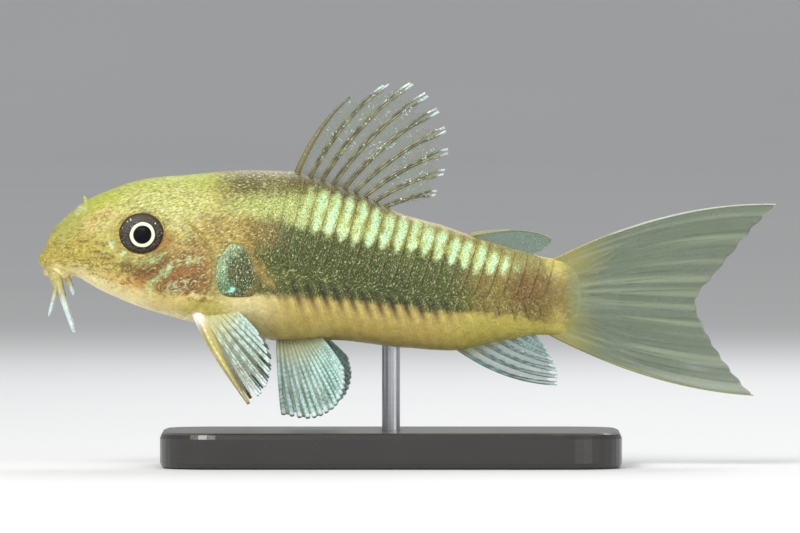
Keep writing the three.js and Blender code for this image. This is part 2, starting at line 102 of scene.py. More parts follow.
def smooth(value: np.ndarray, start: float, end: float) -> np.ndarray:
    """Return a soft step from 0 at start to 1 at end, 3f^2 - 2f^3 of the share f of the way."""
    share = np.clip((np.asarray(value, float) - start) / (end - start), 0, 1)
    return share * share * (3 - 2 * share)


def bell(value: np.ndarray, middle: float, width: float) -> np.ndarray:
    """Return a rounded hump that is 1 at the middle and e^-1 one width away."""
    return np.exp(-(((np.asarray(value, float) - middle) / width) ** 2))


def srgb(red: float, green: float, blue: float) -> np.ndarray:
    """Return a display colour with channels from 0 to 255 as linear light."""
    share = np.array([red, green, blue], float) / 255
    return np.where(share <= 0.04045, share / 12.92, ((share + 0.055) / 1.055) ** 2.4)


def unit(vectors: np.ndarray) -> np.ndarray:
    """Return vectors at length 1 along the last axis."""
    length = np.linalg.norm(vectors, axis=-1, keepdims=True)
    return vectors / np.maximum(length, 1e-9)


def layered(ground: np.ndarray, *layers: tuple[Colour, np.ndarray]) -> np.ndarray:
    """Return colours after others are laid over them in turn.

    Args:
        ground: The colours below, as linear light.
        layers: For each its colour and how much of it lies at each place, from 0 to 1.

    Returns:
        The colours, as linear light.
    """
    for colour, cover in layers:
        ground = ground + (srgb(*colour) - ground) * cover[..., None]
    return ground


def with_alpha(rgb: np.ndarray, alpha: np.ndarray | float) -> np.ndarray:
    """Return colours with a fourth channel that says how solid they are."""
    return np.concatenate([rgb, np.broadcast_to(alpha, rgb.shape[:-1])[..., None]], -1)


def turns(count: int) -> np.ndarray:
    """Return so many angles spread evenly round a ring."""
    return np.linspace(0, FULL_TURN, count, endpoint=False)


def grain(across: np.ndarray, along: np.ndarray, seed: int) -> np.ndarray:
    """Return a smooth random field from 0 to 1 with one random value at each whole number.

    The four values round a place are blended by soft steps of the place's two fractions.

    Args:
        across: First coordinate, in cells.
        along: Second coordinate, in cells.
        seed: Which field.

    Returns:
        An array of the coordinates' shape.
    """
    table = np.random.default_rng(seed).random(GRAIN_CELLS)
    column, row = np.floor(across), np.floor(along)
    f, g = smooth(across - column, 0, 1), smooth(along - row, 0, 1)
    c, r = column.astype(int), row.astype(int)

    def at(dc: int, dr: int) -> np.ndarray:
        """Return the table's value dc columns and dr rows on."""
        return table[(c + dc) % GRAIN_CELLS[0], (r + dr) % GRAIN_CELLS[1]]

    low = at(0, 0) * (1 - f) + at(1, 0) * f
    high = at(0, 1) * (1 - f) + at(1, 1) * f
    return low * (1 - g) + high * g


@dataclass(frozen=True)
class Profile:
    """A smooth line through stations (x, value) along the fish, rounded at the snout.

    It is a cubic in the square root of x between stations, with the harmonic mean of the two
    slopes as each station's tangent, so it never swings past a station.
    """

    stations: Line

    def __call__(self, x: np.ndarray) -> np.ndarray:
        """Return the line's values at x.

        Args:
            x: Distances from the snout.

        Returns:
            The values, the end stations' ones beyond the ends.
        """
        knots = np.sqrt(np.array([s[0] for s in self.stations], float))
        values = np.array([s[1] for s in self.stations], float)
        slopes = np.diff(values) / np.diff(knots)
        before, after = slopes[:-1], slopes[1:]
        same = before * after > 0
        total = np.where(same, before + after, 1)
        inner = np.where(same, 2 * before * after / total, 0)
        tangents = np.concatenate([slopes[:1], inner, slopes[-1:]])
        q = np.sqrt(np.clip(x, 0, None))
        i = np.clip(np.searchsorted(knots, q, side="right") - 1, 0, len(knots) - 2)
        span = knots[i + 1] - knots[i]
        f = np.clip((q - knots[i]) / span, 0, 1)
        start = (1 + 2 * f) * (1 - f) ** 2 * values[i] + f * (1 - f) ** 2 * span * tangents[i]
        end = f * f * (3 - 2 * f) * values[i + 1] + f * f * (f - 1) * span * tangents[i + 1]
        return start + end


@dataclass(frozen=True)
class Body:
    """The fish's body without its plates: rounded rings from snout to tail, wider above than below."""

    back: Profile = Profile(((0, 0), (0.6, 1.1), (1.4, 2.9), (3.1, 4.6), (4.9, 5.95), (7.9, 7.3),
                             (11, 8.15), (15.9, 8.6), (20.7, 9), (25.3, 8.9), (28.3, 8.05), (32.3, 6.6),
                             (36.2, 4.7), (40.7, 3.4), (44.7, 2), (48.5, 0.85), (51.5, 0.15), (54, 0)))
    belly: Profile = Profile(((0, 0), (0.3, -0.6), (0.9, -1.2), (1.9, -1.5), (3.3, -1.5), (6.3, -3),
                              (9.5, -4.4), (14.3, -5.9), (20.7, -7.2), (24.3, -8.1), (29.3, -8),
                              (35.9, -8.7), (41.3, -9.05), (46.3, -8.05), (50.3, -7.5), (54, -7.6)))
    half_width: Profile = Profile(((0, 0), (0.5, 1.25), (1.5, 2.2), (3, 3.1), (5, 4), (8, 5), (11, 5.6),
                                   (15, 6.2), (20, 6.55), (26, 6.3), (33, 5.35), (39, 4.1), (45, 2.75),
                                   (49.5, 1.7), (52.5, 1.05), (54, 0.9)))
    widest: Profile = Profile(((0, 0.5), (3, 0.36), (8, 0.4), (20, 0.43), (35, 0.47), (54, 0.5)))
    top_fullness: Profile = Profile(((0, 2.2), (10, 2.15), (20, 1.85), (35, 1.8), (54, 2)))
    belly_fullness: Profile = Profile(((0, 2.2), (6, 2.6), (20, 2.9), (35, 2.6), (45, 2.1), (54, 2)))
    tail_start: float = 50.8  # where the body starts to run out in the tail fin
    tail_end: float = 54.6
    end_width: float = 0.06  # share of its width that it keeps at its end
    end_rounding: float = 0.93
    deepest: float = 16.5  # height of the trunk for which the plates' lean is given

    def run_out(self, x: np.ndarray) -> np.ndarray:
        """Return how far each place lies along the stretch that runs out, from 0 to 1."""
        return np.clip((x - self.tail_start) / (self.tail_end - self.tail_start), 0, 1)

    def point(self, x: np.ndarray, angle: np.ndarray, grow: np.ndarray | float = 0.0) -> np.ndarray:
        """Return places on the body.

        A ring is a rounded box: the width times a power of the angle's sine, and above or below
        the widest level the height times the same power of its cosine.

        Args:
            x: Distance from the snout.
            angle: Angle round the ring from the back, over the left side, to pi at the belly.
            grow: How far outside the body the place lies.

        Returns:
            An array of x, y and z.
        """
        x, angle = np.broadcast_arrays(np.asarray(x, float), np.asarray(angle, float))
        run_out = self.run_out(x)
        narrowing = self.end_width + (1 - self.end_width) * (1 - run_out) ** 0.9
        pull = np.sqrt(1 - self.end_rounding * run_out**3)
        width = self.half_width(x) * narrowing + grow
        top, bottom = self.back(x) + grow, self.belly(x) - grow
        level = bottom + self.widest(x) * (top - bottom)
        upper = np.cos(angle) > 0
        power = 2 / np.where(upper, self.top_fullness(x), self.belly_fullness(x))
        out = width * np.abs(np.sin(angle)) ** power * np.sign(np.sin(angle))
        up = np.abs(np.cos(angle)) ** power
        z = level + np.where(upper, top - level, bottom - level) * pull * up
        return np.stack([x, -out, z], -1)

    def normal(self, x: np.ndarray, angle: np.ndarray) -> np.ndarray:
        """Return the direction out of the body, from small steps along and round it.

        Args:
            x: Distance from the snout.
            angle: Angle round the ring.

        Returns:
            Vectors of length 1.
        """
        step = 0.01
        x = np.maximum(x, 3 * step)
        along = self.point(x + step, angle) - self.point(x - step, angle)
        round_it = self.point(x, angle + step) - self.point(x, angle - step)
        return unit(np.cross(round_it, along))

    def angle_at(self, x: np.ndarray, z: np.ndarray) -> np.ndarray:
        """Return the angle on the left side at which the body reaches a height.

        Args:
            x: Distance from the snout.
            z: The height.

        Returns:
            Angles from the back, from 0 to pi.
        """
        x, z = np.broadcast_arrays(np.asarray(x, float), np.asarray(z, float))
        top, bottom = self.back(x), self.belly(x)
        level = bottom + self.widest(x) * (top - bottom)
        up = np.clip((z - level) / np.maximum(top - level, 1e-6), 0, 1)
        down = np.clip((level - z) / np.maximum(level - bottom, 1e-6), 0, 1)
        upper = np.arccos(up ** (self.top_fullness(x) / 2))
        lower = math.pi - np.arccos(down ** (self.belly_fullness(x) / 2))
        return np.where(z >= level, upper, lower)

    def surface(self, x: float, z: float, side: Side) -> np.ndarray:
        """Return the place on one side of the body at a distance and a height."""
        place = self.point(np.array(x), self.angle_at(np.array(x), np.array(z)))
        return place * np.array([1.0, -side.value, 1.0])


BODY = Body()


def through(points: tuple[tuple[float, ...], ...], at: np.ndarray) -> np.ndarray:
    """Return places on the centripetal Catmull-Rom curve through points.

    Each stretch is the cubic whose end slopes come from its neighbours, weighted by the square
    roots of the distances between points.

    Args:
        points: The points that the curve passes.
        at: Share of the way along, each stretch taking an equal part.

    Returns:
        An array of places.
    """
    known = np.array(points, float)
    ends = [2 * known[0] - known[1], *known, 2 * known[-1] - known[-2]]
    known = np.array(ends)
    stretches = len(points) - 1
    spot = np.clip(np.asarray(at, float), 0, 1) * stretches
    i = np.minimum(np.floor(spot).astype(int), stretches - 1)
    f = (spot - i)[..., None]
    a, b, c, d = (known[i + k] for k in range(4))

    def gap(p: np.ndarray, q: np.ndarray) -> np.ndarray:
        """Return the square root of the distance between places."""
        return np.maximum(np.sqrt(np.linalg.norm(q - p, axis=-1, keepdims=True)), 1e-4)

    before, here, after = gap(a, b), gap(b, c), gap(c, d)
    leave = ((b - a) / before - (c - a) / (before + here) + (c - b) / here) * here
    arrive = ((c - b) / here - (d - b) / (here + after) + (d - c) / after) * here
    square = 3 * (c - b) - 2 * leave - arrive
    cube = 2 * (b - c) + leave + arrive
    return b + leave * f + square * f**2 + cube * f**3


@dataclass
class Shape:
    """A closed mesh in mm with its marks, before it goes into Blender."""

    points: np.ndarray
    faces: np.ndarray
    fans: np.ndarray
    marks: Marks = field(default_factory=dict)
    unwrap: np.ndarray | None = None
    fan_unwrap: np.ndarray | None = None

    def mirrored(self) -> "Shape":
        """Return the same shape on the fish's other side, still facing outwards."""
        turn = [0, 3, 2, 1]
        unwrapped = self.unwrap is not None
        return Shape(
            self.points * MIRROR,
            self.faces[:, turn],
            self.fans[:, ::-1],
            self.marks,
            self.unwrap[:, turn] if unwrapped else None,
            self.fan_unwrap[:, ::-1] if unwrapped else None,
        )

    def on(self, side: Side, drawn: Side = Side.LEFT) -> "Shape":
        """Return the shape on one side of the fish, mirrored where it is drawn on the other."""
        return self if side is drawn else self.mirrored()

    def volume(self) -> float:
        """Return the volume inside, which is below 0 where the faces point inwards."""
        halves = [self.faces[:, [0, 1, 2]], self.faces[:, [0, 2, 3]], self.fans]
        corners = np.concatenate([h for h in halves if len(h)])
        a, b, c = (self.points[corners[:, k]] for k in range(3))
        return float(np.einsum("ij,ij->i", a, np.cross(b, c)).sum() / 6)

    def outward(self) -> "Shape":
        """Return the shape with its faces pointing outwards."""
        if self.volume() >= 0:
            return self
        self.faces = self.faces[:, ::-1]
        self.fans = self.fans[:, ::-1]
        if self.unwrap is not None:
            self.unwrap = self.unwrap[:, ::-1]
            self.fan_unwrap = self.fan_unwrap[:, ::-1]
        return self


def joined(shapes: list[Shape]) -> Shape:
    """Return several shapes as one, each turned to face outwards.

    Args:
        shapes: The shapes, which carry the same marks.

    Returns:
        One shape with all of their faces.
    """
    shapes = [shape.outward() for shape in shapes]
    starts = np.cumsum([0] + [len(shape.points) for shape in shapes[:-1]])
    names = shapes[0].marks
    unwrapped = shapes[0].unwrap is not None
    return Shape(
        np.concatenate([s.points for s in shapes]),
        np.concatenate([s.faces + start for s, start in zip(shapes, starts)]),
        np.concatenate([s.fans + start for s, start in zip(shapes, starts)]),
        {name: np.concatenate([s.marks[name] for s in shapes]) for name in names},
        np.concatenate([s.unwrap for s in shapes]) if unwrapped else None,
        np.concatenate([s.fan_unwrap for s in shapes]) if unwrapped else None,
    )


def grid_faces(rows: int, columns: int, closed: bool) -> np.ndarray:
    """Return the four-cornered faces of a grid, its last column joined to its first if closed.

    Args:
        rows: How many rows of places the grid has.
        columns: How many places a row has.
        closed: Whether its columns run round.

    Returns:
        Rows of four place numbers.
    """
    row = np.arange(rows - 1)[:, None] * columns
    column = np.arange(columns if closed else columns - 1)[None, :]
    following = (column + 1) % columns
    corners = [row + column, row + following, row + columns + following, row + columns + column]
    return np.stack(corners, -1).reshape(-1, 4)


def loft(rings: np.ndarray, marks: Marks, unwrap: np.ndarray | None = None) -> Shape:
    """Return closed rings joined into one solid, with a fan of faces over each end.

    Args:
        rings: Places, as rows of rings.
        marks: Values at the same places.
        unwrap: Flat places for one column more than the rings have, or None.

    Returns:
        The closed shape.
    """
    rows, columns = rings.shape[:2]
    points = np.concatenate([rings.reshape(-1, 3), rings[[0, -1]].mean(1)])
    j = np.arange(columns)
    k = (j + 1) % columns
    last = (rows - 1) * columns
    low = np.stack([np.full(columns, rows * columns), k, j], -1)
    high = np.stack([np.full(columns, rows * columns + 1), last + j, last + k], -1)
    spread = {}
    for name, values in marks.items():
        flat = values.reshape(rows * columns, *values.shape[2:])
        spread[name] = np.concatenate([flat, values[[0, -1]].mean(1)])
    faces = grid_faces(rows, columns, True)
    shape = Shape(points, faces, np.concatenate([low, high]), spread)
    if unwrap is not None:
        wide = grid_faces(rows, columns + 1, False)
        shape.unwrap = unwrap.reshape(-1, 2)[wide]
        ends = []
        for row, order in ((0, (1, 0)), (rows - 1, (0, 1))):
            edge = unwrap[row]
            middle = np.broadcast_to(edge.mean(0), (columns, 2))
            pair = [edge[:-1], edge[1:]]
            ends.append(np.stack([middle, pair[order[0]], pair[order[1]]], 1))
        shape.fan_unwrap = np.concatenate(ends)
    return shape


def sheet(middle: np.ndarray, half: np.ndarray, marks: Marks) -> Shape:
    """Return a grid of places as a thin closed blade, half on each side of the grid.

    Args:
        middle: Places, as rows and columns.
        half: Half of the thickness at each place.
        marks: Values at the same places.

    Returns:
        The closed shape.
    """
    rows, columns = middle.shape[:2]
    down = np.gradient(middle, axis=0)
    right = np.gradient(middle, axis=1)
    push = unit(np.cross(down, right)) * half[..., None]
    count = rows * columns
    points = np.concatenate([(middle + push).reshape(-1, 3), (middle - push).reshape(-1, 3)])
    front = grid_faces(rows, columns, False)
    index = np.arange(count).reshape(rows, columns)
    rim = np.concatenate([index[0, :-1], index[:-1, -1], index[-1, :0:-1], index[:0:-1, 0]])
    after = np.roll(rim, -1)
    wall = np.stack([rim, after, after + count, rim + count], -1)
    faces = np.concatenate([front, front[:, ::-1] + count, wall[:, ::-1]])
    spread = {}
    for name, values in marks.items():
        flat = values.reshape(count, *values.shape[2:])
        spread[name] = np.concatenate([flat, flat])
    return Shape(points, faces, np.zeros((0, 3), int), spread)


def tube(path: np.ndarray, wide: np.ndarray, thick: np.ndarray, across: np.ndarray, sides: int,
         marks: Marks) -> Shape:
    """Return an oval rod along a path, with rounded ends.

    Args:
        path: Places along the middle.
        wide: Half of the rod's width along across, at each place.
        thick: Half of its thickness, at each place.
        across: Direction of the width, one for the rod or one for each place.
        sides: How many sides the rod has.
        marks: Values along the path, or along it and round it.

    Returns:
        The closed shape.
    """
    along = unit(np.gradient(path, axis=0))
    side = unit(across - along * np.sum(across * along, -1, keepdims=True))
    up = np.cross(along, side)
    turn = turns(sides)
    ring = side[:, None] * (wide[:, None] * np.cos(turn))[..., None]
    ring = ring + up[:, None] * (thick[:, None] * np.sin(turn))[..., None]
    spread = {}
    for name, values in marks.items():
        along_only = values.ndim == (2 if name == "colour" else 1)
        spread[name] = np.repeat(values[:, None], sides, 1) if along_only else values
    return loft(path[:, None] + ring, spread)


class Nodes:
    """A short way to write a material's nodes."""

    def __init__(self, name: str) -> None:
        """Start a material with a Principled shader.

        Args:
            name: The material's name.
        """
        self.material = bpy.data.materials.new(name)
        self.material.use_nodes = True
        self.tree = self.material.node_tree
        self.shader = self.tree.nodes["Principled BSDF"]
        self.place = self.add("ShaderNodeTexCoord").outputs["Object"]

    def add(self, kind: str, sockets: dict[str | int, object] | None = None,
            **settings: object) -> bpy.types.Node:
        """Return a new node.

        Args:
            kind: Its type.
            sockets: Values or links for its inputs, by name or number.
            settings: Values for its properties.

        Returns:
            The node.
        """
        node = self.tree.nodes.new(kind)
        for name, value in settings.items():
            setattr(node, name, value)
        for socket, value in (sockets or {}).items():
            self.feed(node.inputs[socket], value)
        return node

    def feed(self, socket: bpy.types.NodeSocket, value: object) -> None:
        """Link a socket to another, or set its value.

        Args:
            socket: The input.
            value: An output to link it to, or a plain value.
        """
        if isinstance(value, bpy.types.NodeSocket):
            self.tree.links.new(value, socket)
        else:
            socket.default_value = value

    def math(self, operation: str, *values: object, clamp: bool = False) -> object:
        """Return the result of one sum on numbers."""
        sockets = dict(enumerate(values))
        return self.add("ShaderNodeMath", sockets, operation=operation, use_clamp=clamp).outputs[0]

    def times(self, first: object, second: object, clamp: bool = False) -> object:
        """Return the product of two numbers."""
        return self.math("MULTIPLY", first, second, clamp=clamp)

    def mark(self, name: str, channel: str = "Fac") -> object:
        """Return a mark that the mesh carries."""
        return self.add("ShaderNodeAttribute", attribute_name=name).outputs[channel]

    def noise(self, cell: float, detail: float = 2.0, stretch: tuple[float, float, float] = (1, 1, 1),
              lean: float = 0.0, seed: float = 0.0) -> object:
        """Return noise whose cells are so many mm across.

        Args:
            cell: Size of a cell, in mm.
            detail: How many finer layers it has.
            stretch: How long a cell is along each axis, in cells.
            lean: Degrees that the cells' long way leans from upright towards the tail.
            seed: Which part of the endless noise is used, in metres along the fish.

        Returns:
            The socket with the noise.
        """
        place = {
            "Vector": self.place,
            "Location": (seed, 0.0, 0.0),
            "Rotation": (0.0, math.radians(lean), 0.0),
            "Scale": stretch,
        }
        mapped = self.add("ShaderNodeMapping", place, vector_type="TEXTURE").outputs["Vector"]
        sockets = {"Vector": mapped, "Scale": 1 / (cell * MM), "Detail": detail}
        return self.add("ShaderNodeTexNoise", sockets).outputs["Fac"]

    def dots(self, cell: float, size: float) -> object:
        """Return small round dots, 1 inside and 0 outside.

        Args:
            cell: Distance between dots, in mm.
            size: Radius of a dot as a share of the distance.

        Returns:
            The socket with the dots.
        """
        sockets = {"Vector": self.place, "Scale": 1 / (cell * MM)}
        distance = self.add("ShaderNodeTexVoronoi", sockets).outputs["Distance"]
        return self.step(distance, size, size * 0.45)

    def spread(self, noise: object, low: float, high: float) -> object:
        """Return noise, most of which is from 0.25 to 0.75, spread from low to high."""
        sockets = {"Value": noise, "From Min": 0.25, "From Max": 0.75, "To Min": low, "To Max": high}
        return self.add("ShaderNodeMapRange", sockets).outputs["Result"]

    def step(self, value: object, start: float, end: float) -> object:
        """Return a soft step from 0 at start to 1 at end."""
        sockets = {"Value": value, "From Min": start, "From Max": end}
        return self.add("ShaderNodeMapRange", sockets, interpolation_type="SMOOTHSTEP").outputs["Result"]

    def mix(self, share: object, first: object, second: object, blend: str = "MIX") -> object:
        """Return two colours mixed by a share."""
        sockets = {0: share, 6: first, 7: second}
        return self.add("ShaderNodeMix", sockets, data_type="RGBA", blend_type=blend).outputs[2]

    def grey(self, value: object) -> object:
        """Return a number as a grey colour."""
        return self.add("ShaderNodeCombineColor", {0: value, 1: value, 2: value}).outputs[0]

    def bump(self, height: object, depth: float) -> None:
        """Raise the surface by height, up to a depth in mm."""
        sockets = {"Strength": 1.0, "Distance": depth * MM, "Height": height}
        self.set(Normal=self.add("ShaderNodeBump", sockets).outputs["Normal"])

    def set(self, **values: object) -> None:
        """Set or link the shader's sockets, named with underscores for spaces."""
        for name, value in values.items():
            self.feed(self.shader.inputs[name.replace("_", " ")], value)


def rgba(red: float, green: float, blue: float, gain: float = 1.0) -> tuple[float, ...]:
    """Return a display colour, made brighter by a gain, as a node's socket takes it."""
    return (*np.minimum(srgb(red, green, blue) * gain, 1).tolist(), 1.0)


@dataclass(frozen=True)
class SkinFinish:
    """Wet skin and bone plates: painted colour, fine mottling, painted glints on pale grains, painted shade
    in small hollows and a soft relief.
    """

    name: str
    cell: float  # size of the finest grains, in mm
    long: float  # length of a grain, in widths
    lean: float = 16.0  # degrees that the grains lean towards the tail
    relief: float = 0.05
    roughness: float = 0.42
    pit_shade: float = 0.62  # how dark the painted shade in the small hollows between the grains is

    def material(self) -> bpy.types.Material:
        """Return the finish as a material."""
        nodes = Nodes(self.name)
        speck, gleam = nodes.mark("speck"), nodes.mark("gleam")
        stretch = (1.0, 1.0, self.long)
        fine = nodes.spread(nodes.noise(self.cell * 1.4, 3.0, stretch, self.lean, 0.013), -0.6, 0.48)
        rough = nodes.times(fine, nodes.spread(speck, 0.3, 1.0))
        wide = nodes.spread(nodes.noise(0.7, 3.0), 0.87, 1.13)
        shade = nodes.times(nodes.math("ADD", rough, 1.0), wide)
        colour = nodes.mix(1.0, nodes.mark("colour", "Color"), nodes.grey(shade), "MULTIPLY")
        # painted shade: a dark colour laid into the small hollows between the grains
        pit_shade = nodes.step(nodes.noise(self.cell * 1.3, 1.0, stretch, self.lean, 0.029), 0.5, 0.62)
        shadow = nodes.times(pit_shade, nodes.times(speck, self.pit_shade), True)
        colour = nodes.mix(shadow, colour, rgba(52, 44, 18))
        glints = self.glints(nodes, speck, stretch)
        # painted highlight: the glints lay a pale gold or mint colour over the skin's colour
        colour = nodes.mix(glints, colour, nodes.mix(gleam, rgba(242, 234, 160), rgba(214, 255, 226)))
        nodes.bump(nodes.math("ADD", nodes.times(glints, 0.4), nodes.noise(0.24, 3.0)), self.relief)
        nodes.set(Base_Color=colour, Metallic=nodes.times(gleam, 0.15), Roughness=self.roughness)
        nodes.set(Coat_Weight=0.1, Coat_Roughness=0.16, Specular_IOR_Level=0.26)
        return nodes.material

    def glints(self, nodes: Nodes, speck: object, stretch: tuple[float, float, float]) -> object:
        """Return the painted glints, pale grains of reflected light: small ones and a few larger ones.

        Args:
            nodes: The material's nodes.
            speck: Where the skin has painted glints.
            stretch: How long a small grain is along each axis.

        Returns:
            The socket with the grains, from 0 to 1.
        """
        small = nodes.step(nodes.noise(self.cell * 1.2, 1.0, stretch, self.lean, 0.041), 0.52, 0.76)
        large = nodes.step(nodes.noise(self.cell * 2.2, 1.0, (1, 1, 1.5), self.lean, 0.057), 0.66, 0.75)
        light = nodes.spread(nodes.noise(self.cell * 4, 2.0, seed=0.071), 0.1, 1.0)
        return nodes.times(nodes.times(nodes.math("MAXIMUM", small, large), light), speck, True)


@dataclass(frozen=True)
class FinFinish:
    """A thin clear membrane or a bony ray: painted colour, painted clearness and a wet gloss."""

    name: str
    roughness: float = 0.3
    streak: float = 0.12  # size of the dark mottling, in mm

    def material(self) -> bpy.types.Material:
        """Return the finish as a material."""
        nodes = Nodes(self.name)
        paint, clear = nodes.mark("colour", "Color"), nodes.mark("colour", "Alpha")
        fine = nodes.noise(self.streak, 3.0)
        dark = nodes.mix(nodes.step(fine, 0.35, 0.7), paint, rgba(60, 66, 44))
        few = nodes.step(nodes.noise(0.9, 2.0, seed=0.083), 0.5, 0.6)
        glints = nodes.times(nodes.times(nodes.dots(0.3, 0.4), few), nodes.mark("speck"), True)
        colour = nodes.mix(glints, nodes.mix(0.22, paint, dark), rgba(225, 255, 250))
        alpha = nodes.math("ADD", clear, nodes.times(glints, 0.9), clamp=True)
        nodes.bump(fine, 0.03)
        nodes.set(Base_Color=colour, Roughness=self.roughness, Alpha=alpha)
        nodes.set(Coat_Weight=0.3, Coat_Roughness=0.1)
        return nodes.material


@dataclass(frozen=True)
class GlobeFinish:
    """The eyeball under its clear cover: painted ring and pupil, and painted glints on silver flecks on the
    dark rim.
    """

    name: str = "eye_globe"

    def material(self) -> bpy.types.Material:
        """Return the finish as a material."""
        nodes = Nodes(self.name)
        speck = nodes.mark("speck")
        mottle = nodes.times(nodes.step(nodes.noise(0.16, 4.0), 0.35, 0.75), speck)
        colour = nodes.mix(mottle, nodes.mark("colour", "Color"), rgba(108, 102, 92))
        # painted highlight: small near-white glints on the rim
        glints = nodes.times(nodes.dots(0.42, 0.24), speck, True)
        nodes.bump(nodes.noise(0.2, 2.0), 0.02)
        nodes.set(Base_Color=nodes.mix(glints, colour, rgba(250, 250, 245)))
        nodes.set(Roughness=0.6, Specular_IOR_Level=0.1)
        return nodes.material


@dataclass(frozen=True)
class CorneaFinish:
    """The clear wet cover of the eye."""

    name: str = "eye_cornea"

    def material(self) -> bpy.types.Material:
        """Return the finish as a material."""
        nodes = Nodes(self.name)
        wet = nodes.noise(0.6, 2.0)
        nodes.bump(wet, 0.004)
        nodes.set(Base_Color=nodes.mix(wet, rgba(14, 14, 18), rgba(30, 30, 32)))
        nodes.set(Roughness=0.05, Alpha=0.05, Specular_IOR_Level=0.6)
        return nodes.material


@dataclass(frozen=True)
class StandFinish:
    """Cast acrylic or brushed rod: a faint cloud in the colour and a fine grain."""

    name: str
    colour: Colour
    roughness: float
    metallic: float = 0.0
    stretch: tuple[float, float, float] = (1, 1, 1)

    def material(self) -> bpy.types.Material:
        """Return the finish as a material."""
        nodes = Nodes(self.name)
        cloud = nodes.noise(4.0, 3.0, self.stretch)
        scuff = nodes.noise(0.35, 4.0, self.stretch)
        nodes.bump(scuff, 0.01)
        nodes.set(Base_Color=nodes.mix(cloud, rgba(*self.colour, 0.86), rgba(*self.colour, 1.1)))
        nodes.set(Roughness=nodes.math("MULTIPLY_ADD", scuff, 0.16, self.roughness))
        nodes.set(Metallic=self.metallic, Coat_Weight=0.2, Coat_Roughness=0.08)
        return nodes.material


def make(name: str, shape: Shape, material: bpy.types.Material,
         stands_for: tuple[str, ...] = ()) -> bpy.types.Object:
    """Put a shape into Blender as one piece that rides on the part's body.

    Args:
        name: The piece's name.
        shape: Its closed mesh.
        material: Its finish.
        stands_for: The nodes that it replaces.

    Returns:
        The new object.
    """
    shape = shape.outward()
    mesh = bpy.data.meshes.new(name)
    corners = np.concatenate([shape.faces.ravel(), shape.fans.ravel()]).astype(np.int32)
    sizes = np.concatenate([np.full(len(shape.faces), 4), np.full(len(shape.fans), 3)])
    starts = np.concatenate([[0], np.cumsum(sizes)[:-1]]).astype(np.int32)
    mesh.vertices.add(len(shape.points))
    mesh.vertices.foreach_set("co", inside(shape.points).astype(np.float32).ravel())
    mesh.loops.add(len(corners))
    mesh.loops.foreach_set("vertex_index", corners)
    mesh.polygons.add(len(sizes))
    mesh.polygons.foreach_set("loop_start", starts)
    mesh.polygons.foreach_set("use_smooth", np.ones(len(sizes), bool))
    if shape.unwrap is not None:
        flat = np.concatenate([shape.unwrap.reshape(-1, 2), shape.fan_unwrap.reshape(-1, 2)])
        layer = mesh.uv_layers.new(name="OFBake")
        layer.uv.foreach_set("vector", flat.astype(np.float32).ravel())
    for mark, values in shape.marks.items():
        if mark == "colour":
            if values.shape[-1] == 3:
                values = np.concatenate([values, np.ones((len(values), 1))], -1)
            layer = mesh.color_attributes.new(mark, "FLOAT_COLOR", "POINT")
            layer.data.foreach_set("color", values.astype(np.float32).ravel())
        else:
            layer = mesh.attributes.new(mark, "FLOAT", "POINT")
            layer.data.foreach_set("value", values.astype(np.float32).ravel())
    mesh.update(calc_edges=True)
    mesh.validate()
    mesh.materials.append(material)
    piece = bpy.data.objects.new(name, mesh)
    bpy.context.scene.collection.objects.link(piece)
    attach(piece, "root")
    if stands_for:
        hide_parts(*stands_for)
    log.info("%s: %d faces", name, len(sizes))
    return piece


